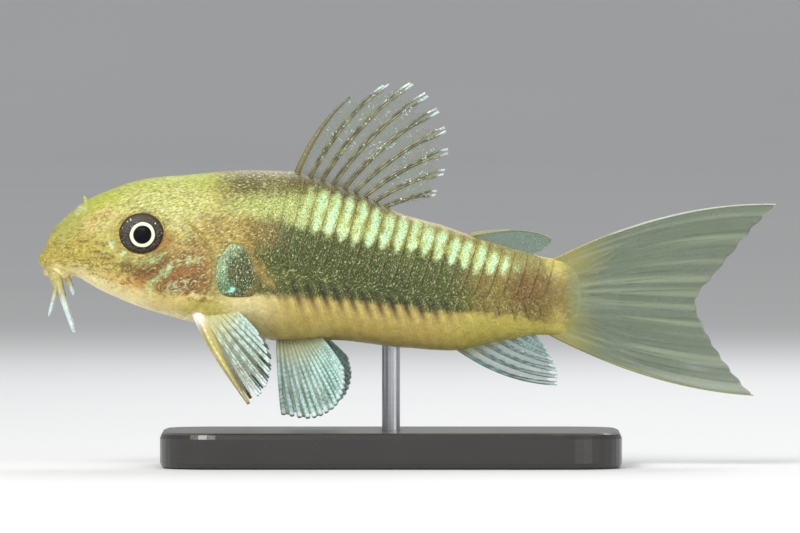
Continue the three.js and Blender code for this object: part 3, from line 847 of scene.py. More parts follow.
class Paint:
    """Colour, glints and gleam of many places, laid on layer by layer as seen from the side."""

    def __init__(self, x: np.ndarray, z: np.ndarray, ground: Colour, speck: float = 0.0,
                 gleam: float = 0.0) -> None:
        """Start with one ground colour.

        Args:
            x: Distance of each place from the snout.
            z: Its height.
            ground: The ground colour.
            speck: How many glints the ground has.
            gleam: How minty they are.
        """
        ragged = grain(x * 2.2, z * 2.2, 5) - 0.5
        drift = grain(x * 2.2, z * 2.2, 6) - 0.5
        fine = grain(x * 7, z * 7, 7) - 0.5
        self.plain_x, self.plain_z = x, z
        self.x = x + 0.5 * ragged + 0.3 * fine
        self.z = z + 0.5 * drift + 0.3 * fine
        self.rgb = np.ones((*x.shape, 3)) * srgb(*ground)
        self.speck = np.full(x.shape, speck)
        self.gleam = np.full(x.shape, gleam)

    def lay(self, colour: Colour, cover: np.ndarray, speck: float | None = None,
            gleam: float | None = None) -> None:
        """Lay one colour over what is there.

        Args:
            colour: The colour.
            cover: How much of it lies at each place, from 0 to 1.
            speck: How many glints the layer has, or None to leave them.
            gleam: How minty the layer's glints are, or None to leave them.
        """
        self.rgb = layered(self.rgb, (colour, cover))
        if speck is not None:
            self.speck += (speck - self.speck) * cover
        if gleam is not None:
            self.gleam += (gleam - self.gleam) * cover

    def lay_paint(self, other: "Paint", cover: np.ndarray) -> None:
        """Lay another paint of the same places over this one.

        Args:
            other: The paint to lay.
            cover: How much of it lies at each place, from 0 to 1.
        """
        self.rgb += (other.rgb - self.rgb) * cover[..., None]
        self.speck += (other.speck - self.speck) * cover
        self.gleam += (other.gleam - self.gleam) * cover

    def spots(self, rows: tuple[tuple, ...], mask: np.ndarray | float = 1.0) -> None:
        """Lay ovals with soft edges, one over another.

        Args:
            rows: For each its colour, its sizes as spot takes them, its strength, and what lay takes
                for its glints and gleam.
            mask: How much of them shows at each place.
        """
        for colour, sizes, strength, *grains in rows:
            self.lay(colour, self.spot(*sizes) * strength * mask, *grains)

    def strokes(self, rows: tuple[tuple, ...], mask: np.ndarray | float = 1.0) -> None:
        """Lay lines with soft edges, one over another.

        Args:
            rows: For each its colour, its points, its width and softness as stroke takes them, its
                strength, and what lay takes for its glints and gleam.
            mask: How much of them shows at each place.
        """
        for colour, points, sizes, strength, *grains in rows:
            self.lay(colour, self.stroke(points, *sizes) * strength * mask, *grains)

    def spot(self, x: float, z: float, long: float, high: float, turn: float = 0.0,
             soft: float = 0.45) -> np.ndarray:
        """Return the cover of an oval with a soft edge.

        Args:
            x: Its middle's distance from the snout.
            z: Its middle's height.
            long: Half of its length.
            high: Half of its height.
            turn: Degrees that its length rises towards the tail.
            soft: Width of its edge, as a share of its size.

        Returns:
            The cover, from 0 to 1.
        """
        angle = math.radians(turn)
        dx, dz = self.x - x, self.z - z
        u = (dx * math.cos(angle) + dz * math.sin(angle)) / long
        v = (dz * math.cos(angle) - dx * math.sin(angle)) / high
        return 1 - smooth(np.hypot(u, v), 1 - soft, 1 + soft)

    def stroke(self, points: Line, width: float, soft: float = 0.5) -> np.ndarray:
        """Return the cover of a line, from each place's distance to it.

        Args:
            points: The line's (x, z) points.
            width: Half of its width.
            soft: Width of its edge, as a share of its width.

        Returns:
            The cover, from 0 to 1.
        """
        nearest = np.full(self.x.shape, np.inf)
        for (ax, az), (bx, bz) in zip(points, points[1:]):
            dx, dz = bx - ax, bz - az
            share = np.clip(((self.x - ax) * dx + (self.z - az) * dz) / (dx * dx + dz * dz), 0, 1)
            nearest = np.minimum(nearest, np.hypot(self.x - ax - share * dx, self.z - az - share * dz))
        return 1 - smooth(nearest, width * (1 - soft), width * (1 + soft))

    def above(self, line: Line, soft: float, lift: np.ndarray | float = 0.0) -> np.ndarray:
        """Return the cover of all that lies above a line of (x, z) stations, raised by a lift."""
        level = np.interp(self.x, *np.array(line).T) + lift
        return smooth(self.z - level, -soft, soft)

    def marks(self) -> Marks:
        """Return the layers as marks for a mesh."""
        return {"colour": np.clip(self.rgb, 0, 1), "speck": self.speck, "gleam": np.clip(self.gleam, 0, 1)}


@dataclass(frozen=True)
class Markings:
    """The fish's markings, the same for its skin and its plates."""

    stripe_top: Line = ((17.5, 6.2), (22.6, 6.6), (27.7, 6.8), (30.9, 6.0), (35.1, 4.4), (38.8, 3.2),
                        (41.4, 2.2), (45.2, 1.0), (46.5, 0.2), (48.5, -0.4))
    stripe_foot: Line = ((17.5, 4.6), (22.6, 4.3), (27.7, 3.3), (30.9, 2.4), (35.1, 1.7), (38.8, 1.1),
                         (41.4, 0.1), (45.2, -0.8), (46.5, -0.9), (48.5, -1.4))
    belly_line: Line = ((0, -2), (17, -3.4), (22.4, -3.5), (28, -3.6), (32, -4.0), (36, -4.7),
                        (40, -5.1), (44, -5.4), (48, -5.9), (51, -6.6), (54, -7.2))

    def head(self, paint: Paint) -> None:
        """Lay the head's colours, from the crown down to the chin.

        Args:
            paint: The places to paint.
        """
        x, z = paint.x, paint.z
        paint.lay((172, 182, 70), smooth(z - BODY.back(x), -2.6, -0.5) * (1 - smooth(x, 17, 21)), 0.4)
        paint.spots((
            ((178, 162, 76), (2.6, 0.8, 3.4, 2.4, 8), 1, 0.5),
            ((168, 166, 88), (3.3, 3.5, 1.2, 2.4, -38), 0.8, 0.3, 0.2),
            # painted highlight: a pale mint streak of reflected light on the top of the snout
            ((212, 220, 164), (4.3, 5.0, 0.3, 0.9, -50), 0.6, 0.25, 0.5),
            ((212, 184, 130), (5.7, 3.8, 0.8, 0.65, 0, 0.7), 0.8),
            ((218, 190, 138), (6.9, 4.6, 0.85, 0.75, 0, 0.7), 0.8),
            ((182, 172, 92), (7.2, 2.8, 1.6, 2.0), 1, 0.5),
            ((190, 192, 116), (13.6, 5.8, 5.4, 2.0, -2), 0.9, 0.95, 0.2),
            ((180, 172, 98), (15.4, 2.9, 3.0, 1.8, -10), 0.8, 0.85, 0.1),
            ((164, 142, 72), (19.0, 3.0, 3.4, 1.8, -4), 0.9, 0.8, 0.0),
            ((166, 138, 80), (15.0, -0.4, 4.6, 2.4, -8), 0.9, 0.75, 0.2),
            ((138, 92, 54), (15.0, -1.6, 3.2, 1.9, 10), 0.75, 1.0, 0.3),
        ))
        paint.spots((
            ((104, 74, 40), (14.6, -0.6, 3.6, 2.6), 0.6, 0.8),
            ((128, 116, 58), (18.6, 3.0, 3.6, 2.0), 0.5, 0.8),
        ), smooth(grain(x * 1.3, z * 1.5, 14), 0.45, 0.75))
        paint.spots((
            ((140, 88, 46), (11.4, -1.8, 3.0, 0.9, 14), 0.85, 0.2),
            ((214, 172, 96), (9.2, -2.4, 2.8, 0.8, -20), 0.75, 0.1),
        ))
        chin = ((2.2, -2.1), (4.2, -2.2), (7.0, -3.6), (11.2, -5.1), (15.4, -6.3))
        paint.lay((250, 234, 168), paint.stroke(chin, 1.5, 0.55), 0.05)
        paint.spots((
            ((224, 200, 122), (13.4, -4.3, 2.6, 0.9, 2), 0.8, 0.1),
            ((192, 178, 86), (15.8, -4.5, 1.8, 0.7, 8), 0.7, 0.1),
        ))
        self.fine_lines(paint)
        self.eye_shadow(paint)
        self.cheek(paint)

    def fine_lines(self, paint: Paint) -> None:
        """Lay the snout's thin level dashes, the small dark flecks behind them and those before.

        Args:
            paint: The places to paint.
        """
        x, z = paint.plain_x, paint.plain_z
        dashes = smooth(grain(x * 1.9 + z, z * 9.5, 11), 0.56, 0.78)
        flecks = smooth(grain(x * 5.2, z * 8.0, 12), 0.6, 0.8)
        fore = smooth(grain(x * 3.0, z * 8.0, 13), 0.62, 0.82)
        paint.spots((((128, 102, 48), (4.9, 1.2, 3.8, 2.2, -4, 0.5), 0.9),), dashes)
        paint.spots((((98, 70, 32), (8.0, -0.9, 3.8, 1.6, -14, 0.5), 0.7),), flecks)
        paint.spots((((150, 150, 74), (3.6, 3.6, 2.4, 2.4, -30), 0.6),), fore)

    def eye_shadow(self, paint: Paint) -> None:
        """Lay the brown line round the eye and the shadows behind and under it.

        Args:
            paint: The places to paint.
        """
        around = np.hypot((paint.x - 10.4) / 2.5, (paint.z - 2.75) / 2.25)
        paint.lay((150, 128, 62), bell(around, 1.02, 0.1) * 0.5)
        paint.spots((((146, 104, 50), (12.7, 1.6, 0.7, 1.5, -35), 0.7, 0.3),))
        under = ((8.9, -0.7), (10.4, -1.1), (11.8, -0.8), (13.0, 0.1))
        paint.strokes((((98, 70, 36), under, (0.55, 0.8), 0.75, 0.6),))

    def cheek(self, paint: Paint) -> None:
        """Lay the cheek's mint marks and the gill cover's red rear.

        Args:
            paint: The places to paint.
        """
        broken = smooth(grain(paint.x * 3.6, paint.z * 3.6, 21), 0.32, 0.62)
        faint = ((8.9, 0.2), (10.0, -0.15), (11.2, -0.1))
        bright = ((11.4, 0.05), (12.3, 0.45), (13.0, 1.1))
        streak = ((10.8, -2.9), (12.0, -1.9), (13.8, -0.35))
        halo = ((17.9, -3.0), (17.7, -0.9), (18.2, 0.7), (19.4, 1.75), (20.4, 1.9))
        paint.strokes((((126, 144, 84), faint, (0.17,), 0.6, 0.5, 0.6),))
        paint.strokes((((150, 190, 128), bright, (0.24, 0.8), 0.8, 0.7, 0.7),), 0.2 + 0.7 * broken)
        paint.strokes((((180, 202, 138), streak, (0.36, 0.7), 1, 0.9, 0.6),), 0.15 + 0.8 * broken)
        paint.strokes((((150, 158, 108), halo, (0.42, 1.0), 0.65, 0.8, 0.6),))
        for x, z, size in ((7.35, 1.65, 0.3), (8.55, 0.6, 0.3), (11.3, -3.1, 0.26), (13.5, -0.6, 0.3)):
            paint.lay((204, 226, 176), paint.spot(x, z, size, size * 0.8) * 0.8, 0.4, 0.9)
        paint.spots((
            ((208, 206, 160), (13.9, -2.6, 1.1, 0.6, 25), 0.7, 1.0, 0.6),
            ((190, 206, 150), (15.9, 0.2, 1.2, 0.4, 15), 0.7, 1.0, 0.7),
        ), broken)
        paint.strokes((
            ((140, 96, 52), ((16.4, 1.2), (17.0, -0.4), (16.8, -2.4)), (0.8, 1.0), 0.6, 0.6),
            ((236, 212, 150), ((15.2, -3.4), (17.4, -3.6)), (0.14,), 0.8, 0.1),
            ((120, 92, 50), ((15.2, -3.75), (17.4, -3.95)), (0.1,), 0.6, 0.1),
        ))

    def flank(self, paint: Paint, bars: np.ndarray) -> None:
        """Lay the colours behind the gill covers: the dark band, the back and the belly.

        Args:
            paint: The places to paint.
            bars: How far a place lies in a plate's bright middle, from 0 to 1.
        """
        x, z = paint.x, paint.z
        behind = smooth(x, 16.8, 19.0)
        under_back = z - BODY.back(x)
        olive = smooth(x, 19.6, 23.2) * (1 - smooth(x, 41, 49))
        paint.lay((136, 112, 58), behind, 0.6, 0.0)
        paint.lay((78, 88, 42), olive, 0.62, 0.15)
        paint.spots((((58, 70, 36), (31, -0.6, 8.5, 2.2, -18), 0.6, 0.62, 0.2),), olive)
        paint.spots((
            ((158, 138, 70), (19.6, 3.2, 3.4, 1.8, -4), 1, 0.85, 0.0),
            ((122, 104, 52), (22.6, 3.0, 1.8, 1.8, -30), 0.7, 0.7),
        ))
        behind_plate = ((20.6, 1.5), (22.0, -0.4), (23.6, -2.4))
        paint.strokes((((150, 128, 70), behind_plate, (0.4, 0.9), 0.75, 0.4),))
        paint.spots((
            ((126, 120, 72), (22.0, 7.9, 5.4, 1.6, 0, 0.5), 1, 1.0, 0.3),
            ((96, 84, 46), (20.6, 7.3, 1.7, 1.0, 10, 0.6), 0.6, 0.9, 0.3),
        ))
        brown = smooth(x, 23, 27) * smooth(under_back, -3.2, -1.4)
        paint.lay((100, 92, 48), brown * (1 - smooth(x, 44, 48)), 0.65, 0.1)
        paint.spots((((78, 70, 40), (30.5, 7.2, 5.5, 0.8, -24), 0.7, 0.4, 0.1),), brown)
        paint.lay((146, 134, 70), smooth(x, 33, 37) * smooth(under_back, -1.5, -0.4), 0.35, 0.0)
        paint.lay((134, 118, 60), smooth(x, 41, 47), 0.5, 0.1)
        paint.lay((148, 142, 88), smooth(x, 44, 48) * smooth(z, -2.2, -0.6), 0.4, 0.1)
        belly = behind * (1 - paint.above(self.belly_line, 0.5))
        paint.lay((204, 182, 104), belly, 0.05, 0.0)
        paint.lay((214, 200, 142), belly * (1 - smooth(x, 21, 26)), 0.05)
        paint.lay((196, 184, 92), belly * smooth(x, 38, 45) * (1 - smooth(x, 51, 53)), 0.08)
        self.stripe(paint, bars)
        self.tail(paint)

    def tail(self, paint: Paint) -> None:
        """Lay the red-brown spot before the tail fin and the yellow scales on the fin's base.

        Args:
            paint: The places to paint.
        """
        base = ((51.7, 0.2), (52.6, -1.0), (52.2, -2.6), (51.9, -4.6), (51.3, -6.8))
        paint.spots((
            ((108, 82, 42), (49.4, -3.0, 2.6, 2.1, -20), 0.8, 0.4),
            ((128, 84, 46), (50.0, -3.5, 1.0, 1.4, 0, 0.9), 0.25, 0.3),
        ))
        paint.strokes((((180, 164, 88), base, (0.6, 1.0), 0.4, 0.3),))
        paint.spots((
            ((214, 200, 114), (52.7, -0.9, 1.3, 0.8, 30, 0.9), 0.85, 0.2),
            ((204, 188, 100), (52.0, -5.6, 0.5, 1.0, 0, 0.9), 0.7, 0.2),
        ))
        paint.lay((142, 134, 76), smooth(paint.x, 51.2, 53.2) * 0.6, 0.15)
        paint.spots((((124, 106, 54), (51.9, -3.6, 1.6, 1.5, 0, 1.0), 0.75, 0.15),))
        paint.strokes((
            ((206, 194, 106), ((51.6, 0.2), (54.6, 1.2)), (0.9, 0.9), 0.8, 0.2),
            ((184, 172, 88), ((51.0, -6.9), (54.6, -7.8)), (0.9, 0.9), 0.8, 0.1),
        ))
        lines = smooth(grain(paint.x * 0.7, paint.z * 2.6, 35), 0.5, 0.8)
        paint.lay((124, 118, 66), lines * smooth(paint.x, 52.2, 53.6) * 0.5)
        paint.lay((146, 146, 92), smooth(paint.x, 52.4, 54.0) * 0.85, 0.0)
        paint.lay((124, 134, 102), smooth(paint.x, 52.6, 54.4) * bell(paint.z, -3.8, 3.4) * 0.9, 0.0)

    def stripe(self, paint: Paint, bars: np.ndarray) -> None:
        """Lay the mint stripe, barred by the plates from the dorsal fin on.

        Args:
            paint: The places to paint.
            bars: How far a place lies in a plate's bright middle, from 0 to 1.
        """
        swell = 0.9 * (bars - 0.45) * smooth(paint.x, 24, 30)
        over = paint.above(self.stripe_top, 0.7, 0.5 * swell)
        band = (1 - over) * paint.above(self.stripe_foot, 0.6, -swell)
        streaks = grain(paint.plain_x * 3.4 - paint.plain_z * 1.1, paint.plain_z * 1.3, 33)
        fore = smooth(paint.x, 15.5, 21) * (1 - smooth(paint.x, 27, 31))
        paint.lay((190, 200, 116), band * fore * (0.6 + 0.4 * streaks), 0.9, 0.45)
        barred = smooth(paint.x, 25, 29.5) * (1 - smooth(paint.x, 46.6, 48.4)) * band
        rough = streaks - 0.5
        paint.lay((156, 158, 86), barred * 0.9, 0.8, 0.35)
        paint.lay((206, 222, 138), barred * np.clip((bars + rough * 0.9) * 1.35, 0, 1), 0.7, 0.6)
        paint.lay((204, 250, 206), barred * np.clip((bars + rough) * 1.6 - 0.75, 0, 1) * 0.9, 0.5, 1.0)

    def body(self, x: np.ndarray, z: np.ndarray, bars: np.ndarray | float = 0.4) -> Paint:
        """Return the colours of places on the body.

        Args:
            x: Distance from the snout.
            z: Height.
            bars: How far each place lies in a plate's bright middle.

        Returns:
            The painted places.
        """
        paint = Paint(x, z, (190, 178, 96))
        self.flank(paint, np.broadcast_to(bars, x.shape))
        head = Paint(x, z, (186, 174, 92), 0.5)
        self.head(head)
        paint.lay_paint(head, 1 - smooth(paint.x, 15.8, 20.6))
        return paint


MARKINGS = Markings()


@dataclass(frozen=True)
class Eye:
    """One eye: a flat dome that stands out of a deep ball, with its ring, pupil and clear cover."""

    x: float = 10.4
    z: float = 2.8
    radius: float = 2.25
    flatten: float = 0.9
    bulge: float = 0.7
    depth: float = 2.1
    sink: float = 0.15
    ring: float = 1.26
    pupil: float = 0.95
    ring_shift: tuple[float, float] = (0.12, -0.16)
    rows: int = 150
    columns: int = 160

    def basis(self) -> tuple[np.ndarray, np.ndarray, np.ndarray, np.ndarray]:
        """Return the left eye's middle and its directions along, out and up."""
        x = np.array(self.x)
        angle = BODY.angle_at(x, np.array(self.z))
        out = BODY.normal(x, angle)
        middle = BODY.point(x, angle) - self.sink * out
        up = unit(np.array([0.0, 0.0, 1.0]) - out * out[2])
        return middle, np.cross(out, up), out, up

    def placed(self, flat: np.ndarray, up: np.ndarray, out: np.ndarray) -> np.ndarray:
        """Return places on the left eye as places on the fish.

        Args:
            flat: How far towards the tail each place lies from the eye's middle.
            up: How far above it.
            out: How far outside it, or below 0 inside.

        Returns:
            An array of places.
        """
        middle, along, outward, upward = self.basis()
        sign = math.copysign(1.0, along[0])
        level = middle + flat[..., None] * along * sign + up[..., None] * upward
        sideways = np.array([0.0, -1.0, 0.0])
        return level + np.maximum(out, 0)[..., None] * sideways + np.minimum(out, 0)[..., None] * outward

    def globe(self) -> Shape:
        """Return the ball: from the front's middle outwards, then back to its deep pole.

        The height is the bulge times the cosine of the way from the front's middle, raised a
        little on the ring and on the pupil and hollowed at the pupil's edge.
        """
        way = np.linspace(0.004, math.pi - 0.004, self.rows)
        w, t = np.meshgrid(way, turns(self.columns), indexing="ij")
        reach = self.radius * np.sin(w)
        flat, up = reach * np.cos(t), reach * np.sin(t) * self.flatten
        front = w < math.pi / 2
        from_ring = np.hypot(flat - self.ring_shift[0], up - self.ring_shift[1])
        raised = 0.05 * bell(from_ring, 1.1, 0.14) + 0.05 * (1 - smooth(from_ring, 0, 0.85))
        hollow = 0.1 * (1 - smooth(from_ring, 0.78, 0.98))
        height = np.where(front, self.bulge, self.depth) * np.cos(w)
        height = height + np.where(front, raised - hollow, 0)
        return loft(self.placed(flat, up, height), self.colours(flat, up, from_ring))

    def colours(self, flat: np.ndarray, up: np.ndarray, from_ring: np.ndarray) -> Marks:
        """Return the ball's marks: dark rim with painted light above and painted shade below, cream ring and
        black pupil.

        Args:
            flat: How far towards the tail each place lies from the eye's middle.
            up: How far above it.
            from_ring: How far from the middle of the ring.

        Returns:
            The marks.
        """
        edge = smooth(np.hypot(flat / self.radius, up / (self.radius * self.flatten)), 0.84, 0.99)
        spin = np.arctan2(up, flat)
        wobble = 0.012 * np.sin(3 * spin + 1) + 0.01 * np.sin(7 * spin)
        rgb = layered(
            srgb(32, 30, 28),
            # painted light: the rim is lighter towards the top and the snout
            ((82, 78, 72), smooth(up - 0.4 * flat, -0.2, 1.8) * 0.8),
            # painted shade: the rim's lower part is nearly black
            ((24, 22, 22), 1 - smooth(up, -1.9, -0.9)),
            ((70, 52, 30), edge),
            ((255, 247, 216), 1 - smooth(from_ring + wobble, self.ring - 0.05, self.ring + 0.05)),
            ((5, 6, 11), 1 - smooth(from_ring, self.pupil - 0.05, self.pupil + 0.03)),
        )
        return {"colour": rgb, "speck": 0.9 * smooth(from_ring, 1.3, 1.5) * (1 - edge)}

    def cornea(self) -> Shape:
        """Return the clear cover: the ball's front, a little larger and rounder."""
        w, t = np.meshgrid(np.linspace(0.006, math.pi * 0.62, 40), turns(96), indexing="ij")
        reach = (self.radius + 0.02) * np.sin(w)
        height = np.where(w < math.pi / 2, self.bulge + 0.22, 0.6) * np.cos(w)
        return loft(self.placed(reach * np.cos(t), reach * np.sin(t) * self.flatten, height), {})

    def build(self, side: Side, globe: bpy.types.Material, cornea: bpy.types.Material) -> None:
        """Make one eye.

        Args:
            side: The fish's side.
            globe: The ball's finish.
            cornea: The cover's finish.
        """
        make(f"eye_globe_{side.word}", self.globe().on(side), globe, (f"eye_{side.word}",))
        make(f"eye_cornea_{side.word}", self.cornea().on(side), cornea)


@dataclass(frozen=True)
class Skin:
    """The one skin over head, trunk and tail, with the head's folds and openings in it."""

    rows: int = 396
    columns: int = 248
    length: float = 54.6
    gill_line: Line = ((-6.4, 13.4), (-5.2, 15.2), (-3.5, 16.7), (-1.8, 17.4), (-0.2, 17.5), (1.2, 17.1),
                       (2.5, 16.2), (4.4, 14.6))  # height and distance of the gill cover's rear edge
    gill_lip: float = 0.17
    mouth: tuple[float, float, float] = (2.0, 0.0, -1.2)
    nostrils: Curve = ((5.65, 4.05, 0.38), (6.9, 4.7, 0.45))  # x, z and radius
    eye: Eye = Eye()

    def stations(self) -> np.ndarray:
        """Return the rings' distances from the snout, closest at the snout and over the head."""
        share = np.linspace(0, 1, self.rows)
        fine = np.cumsum(np.concatenate([[0], 1 / self.density(share[1:])]))
        return 0.004 + (self.length - 0.004) * fine / fine[-1]

    def density(self, share: np.ndarray) -> np.ndarray:
        """Return how close the rings lie at a share of their count."""
        return 1 / (0.12 + 0.88 * smooth(share, 0.0, 0.12) + 0.9 * smooth(share, 0.5, 0.75))

    def relief(self, x: np.ndarray, places: np.ndarray) -> np.ndarray:
        """Return how far each place of the skin stands out of the plain body.

        Args:
            x: Distance from the snout.
            places: Places on the plain body.

        Returns:
            The height, below 0 in a hollow.
        """
        z = places[..., 2]
        folds = self.gill_cover(x, z, np.abs(places[..., 1]))
        soft = 0.05 * (grain(x * 1.1, z * 1.1, 31) - 0.5) * smooth(x, 0.5, 3)
        return folds + self.socket(places) + self.nose(places) + self.lips(places) + soft

    def gill_cover(self, x: np.ndarray, z: np.ndarray, side: np.ndarray) -> np.ndarray:
        """Return the gill cover's raised rear edge, with the drop behind it, and its front folds.

        Args:
            x: Distance from the snout.
            z: Height.
            side: Distance from the middle plane.

        Returns:
            The height, below 0 in a hollow.
        """
        edge = np.interp(z, *np.array(self.gill_line).T)
        on_side = smooth(z, -6.3, -4.6) * (1 - smooth(z, 3.0, 4.6)) * smooth(side, 1.2, 2.4)
        rise = smooth(x - edge, -3.2, -0.25) * (1 - smooth(x - edge, -0.08, 0.12))
        ditch = bell(x, edge + 0.3, 0.22)
        fold = bell(x - 0.45 * z, 13.6, 0.35) * smooth(z, -4.4, -2.6) * (1 - smooth(z, -0.6, 0.8))
        plate = smooth(x, 8.5, 9.5) * (1 - smooth(x, 13.5, 14.5)) * bell(z, -1.2, 1.0)
        return on_side * (self.gill_lip * rise - 0.09 * ditch) + 0.12 * fold * on_side + 0.05 * plate

    def socket(self, places: np.ndarray) -> np.ndarray:
        """Return the eye's socket: a groove round the eye and a soft rim outside it.

        Args:
            places: Places on the plain body.

        Returns:
            The height, below 0 in a hollow.
        """
        middle, along, out, up = self.eye.basis()
        radius = self.eye.radius
        away = np.where(places[..., 1:2] < 0, places, places * MIRROR) - middle
        far = np.hypot(away @ along, away @ up / self.eye.flatten)
        hidden = -0.9 * (1 - smooth(far, radius - 0.45, radius - 0.02))
        groove = -0.1 * bell(far, radius + 0.05, 0.14)
        rim = 0.1 * bell(far, radius + 0.42, 0.28)
        near = np.abs(away @ out) < 2.5
        return np.where(near, hidden + groove + rim, 0)

    def nose(self, places: np.ndarray) -> np.ndarray:
        """Return the nostrils: small round pits with a soft rim.

        Args:
            places: Places on the plain body.

        Returns:
            The height, below 0 in a hollow.
        """
        height = np.zeros(places.shape[:-1])
        for x, z, radius in self.nostrils:
            for side in Side:
                away = np.linalg.norm(places - BODY.surface(x, z, side), axis=-1)
                height -= 0.34 * (1 - smooth(away, radius * 0.55, radius * 1.05))
                height += 0.09 * bell(away, radius * 1.3, radius * 0.4)
        return height

    def lips(self, places: np.ndarray) -> np.ndarray:
        """Return the mouth: a ring of soft lips on the underside with a closed line inside.

        Args:
            places: Places on the plain body.

        Returns:
            The height, below 0 in a hollow.
        """
        away = places - np.array(self.mouth)
        under = smooth(-places[..., 2], 0.4, 1.0)
        flat = np.hypot(away[..., 0], away[..., 1] / 1.3)
        ring = 0.42 * bell(flat, 1.1, 0.3)
        opening = -0.5 * bell(flat, 0.0, 0.55)
        crease = -0.1 * bell(flat, 1.62, 0.14)
        return under * (ring + opening + crease)

    def build(self, material: bpy.types.Material) -> None:
        """Make the skin.

        Args:
            material: Its finish.
        """
        angles = np.linspace(0, FULL_TURN, self.columns + 1)
        x, angle = np.meshgrid(self.stations(), angles[:-1], indexing="ij")
        plain = BODY.point(x, angle)
        rings = plain + BODY.normal(x, angle) * self.relief(x, plain)[..., None]
        marks = MARKINGS.body(plain[..., 0], plain[..., 2]).marks()
        flat_x = np.repeat(self.stations()[:, None] / self.length, self.columns + 1, 1)
        flat_y = np.repeat(angles[None] / FULL_TURN, self.rows, 0)
        unwrap = 0.01 + 0.98 * np.stack([flat_x, flat_y * 0.75], -1)
        make("skin", loft(rings, marks, unwrap), material, ("head", "torso", "tail"))


@dataclass(frozen=True)
class PlateRow:
    """One row of overlapping bony plates on a side of the trunk and tail."""

    side: Side
    upper: bool
    pitch: float = 1.38
    first: float = 21.5
    count: int = 21
    cover: float = 0.36
    lift: float = 0.12
    thickness: float = 0.1
    long: int = 84
    around: int = 26
    row_line: Line = ((21.2, -0.4), (24.2, -1.0), (28.2, -1.7), (32.2, -2.5), (36.2, -3.2), (40.2, -3.6),
                      (44.2, -3.8), (48.2, -4.0), (54, -4.0))

    def reach(self, x: np.ndarray) -> tuple[np.ndarray, np.ndarray]:
        """Return the angles between which the row lies.

        Args:
            x: Distance from the snout.

        Returns:
            The angle at the row's line, and at its far end.
        """
        start = BODY.angle_at(x, np.interp(x, *np.array(self.row_line).T))
        if self.upper:
            return start - 0.015, 0.2 + 0.42 * (1 - smooth(x, 22.0, 27.0))
        return start + 0.015, math.pi - 0.3 - 0.4 * (1 - smooth(x, 21.5, 25))

    def lean(self, x: np.ndarray, share: np.ndarray) -> np.ndarray:
        """Return how far a plate's far end lies towards the tail, growing from the row's line."""
        full = smooth(x, 18.8, 24) * (BODY.back(x) - BODY.belly(x)) / BODY.deepest
        return full * np.sin(share * math.pi / 2) * (2.4 if self.upper else 1.9)

    def plate(self, index: int) -> Shape:
        """Return one plate: a thin pillow from under the plate before to its own free edge.

        Args:
            index: Which plate, from the front.

        Returns:
            The closed shape, with its patch of the unwrap.
        """
        start = self.first + index * self.pitch
        share, turn = np.meshgrid(np.linspace(0, 1, self.long), turns(self.around), indexing="ij")
        front, rear = start - self.cover, start + self.pitch
        corner = (1 - (2 * share - 1) ** 8) ** 0.5
        wave = 0.06 * (grain(share * 9, np.full(share.shape, index * 1.7), 41) - 0.5)
        rear_edge = front + (rear + wave - front) * (0.62 + 0.38 * corner)
        across = 0.5 - 0.5 * np.cos(turn)
        x_plain = front + (rear_edge - front) * across
        rounding = np.abs(np.sin(turn)) ** 0.45
        flatter = 1.0 if self.upper else 1 - 0.8 * smooth(share, 0.3, 0.6)
        lifted = self.lift * flatter * smooth(across, 0.05, 1.0) * (0.25 + 0.75 * corner) - 0.05
        crown = 0.04 * np.sin(np.clip(across, 0, 1) * math.pi) * corner
        face = np.where(np.sin(turn) >= 0, 0.5, -0.5)
        grow = lifted + crown + face * self.thickness * rounding * corner
        x = x_plain + self.lean(x_plain, share) + (0 if self.upper else self.pitch / 2)
        x = np.minimum(x, 52.6 + 0.1 * (x - 52.6))
        near, far = self.reach(x)
        rings = BODY.point(x, near + (far - near) * share, grow)
        paint = MARKINGS.body(rings[..., 0], rings[..., 2], bell(across, 0.62, 0.27))
        self.detail(paint, across, share)
        return loft(rings, paint.marks(), self.patch(index))

    def detail(self, paint: Paint, across: np.ndarray, share: np.ndarray) -> None:
        """Lay what belongs to one plate: its tan free edge, painted shade on its front where it slips under
        the plate before, and a dark blotch on the lower ones.

        Args:
            paint: The plate's places.
            across: Share of the way from its hidden front to its free edge.
            share: Share of the way from the row's line to its far end.
        """
        edge = smooth(across, 0.86, 0.97) * (1 - smooth(across, 0.97, 1.0) * 0.4)
        below = 1 - paint.above(MARKINGS.stripe_foot, 0.6)
        on_dark = paint.above(MARKINGS.belly_line, 0.6) * (0.3 + 0.7 * below) * smooth(paint.x, 21.5, 25.5)
        paint.lay((136, 126, 72), edge * on_dark * 0.42)
        paint.lay((190, 164, 96), edge * (1 - on_dark) * 0.35)
        # painted shade: the plate's front, under the free edge of the plate before, is darkened
        paint.lay((58, 54, 28), (1 - smooth(across, 0.2, 0.36)) * on_dark * 0.45)
        if not self.upper:
            dark = bell(across, 0.5, 0.2) * bell(share, 0.16, 0.17)
            fade = smooth(paint.x, 23.5, 26) * (1 - smooth(paint.x, 39, 44))
            paint.lay((26, 28, 22), dark * fade * 0.95, 0.1)
            paint.lay((168, 140, 84), bell(across, 0.45, 0.22) * (1 - on_dark) * 0.2)

    def patch(self, index: int) -> np.ndarray:
        """Return the plate's own strip of the unwrap, at its place along the fish."""
        up, along = np.mgrid[0:1:self.long * 1j, 0:1:(self.around + 1) * 1j]
        return np.stack([(index + 0.06 + 0.88 * along) / self.count, 0.02 + 0.96 * up], -1)

    def build(self, material: bpy.types.Material) -> None:
        """Make the row as one piece.

        Args:
            material: Its finish.
        """
        shape = joined([self.plate(index) for index in range(self.count)]).on(self.side)
        level = "upper" if self.upper else "lower"
        make(f"{level}_plates_{self.side.word}", shape, material)


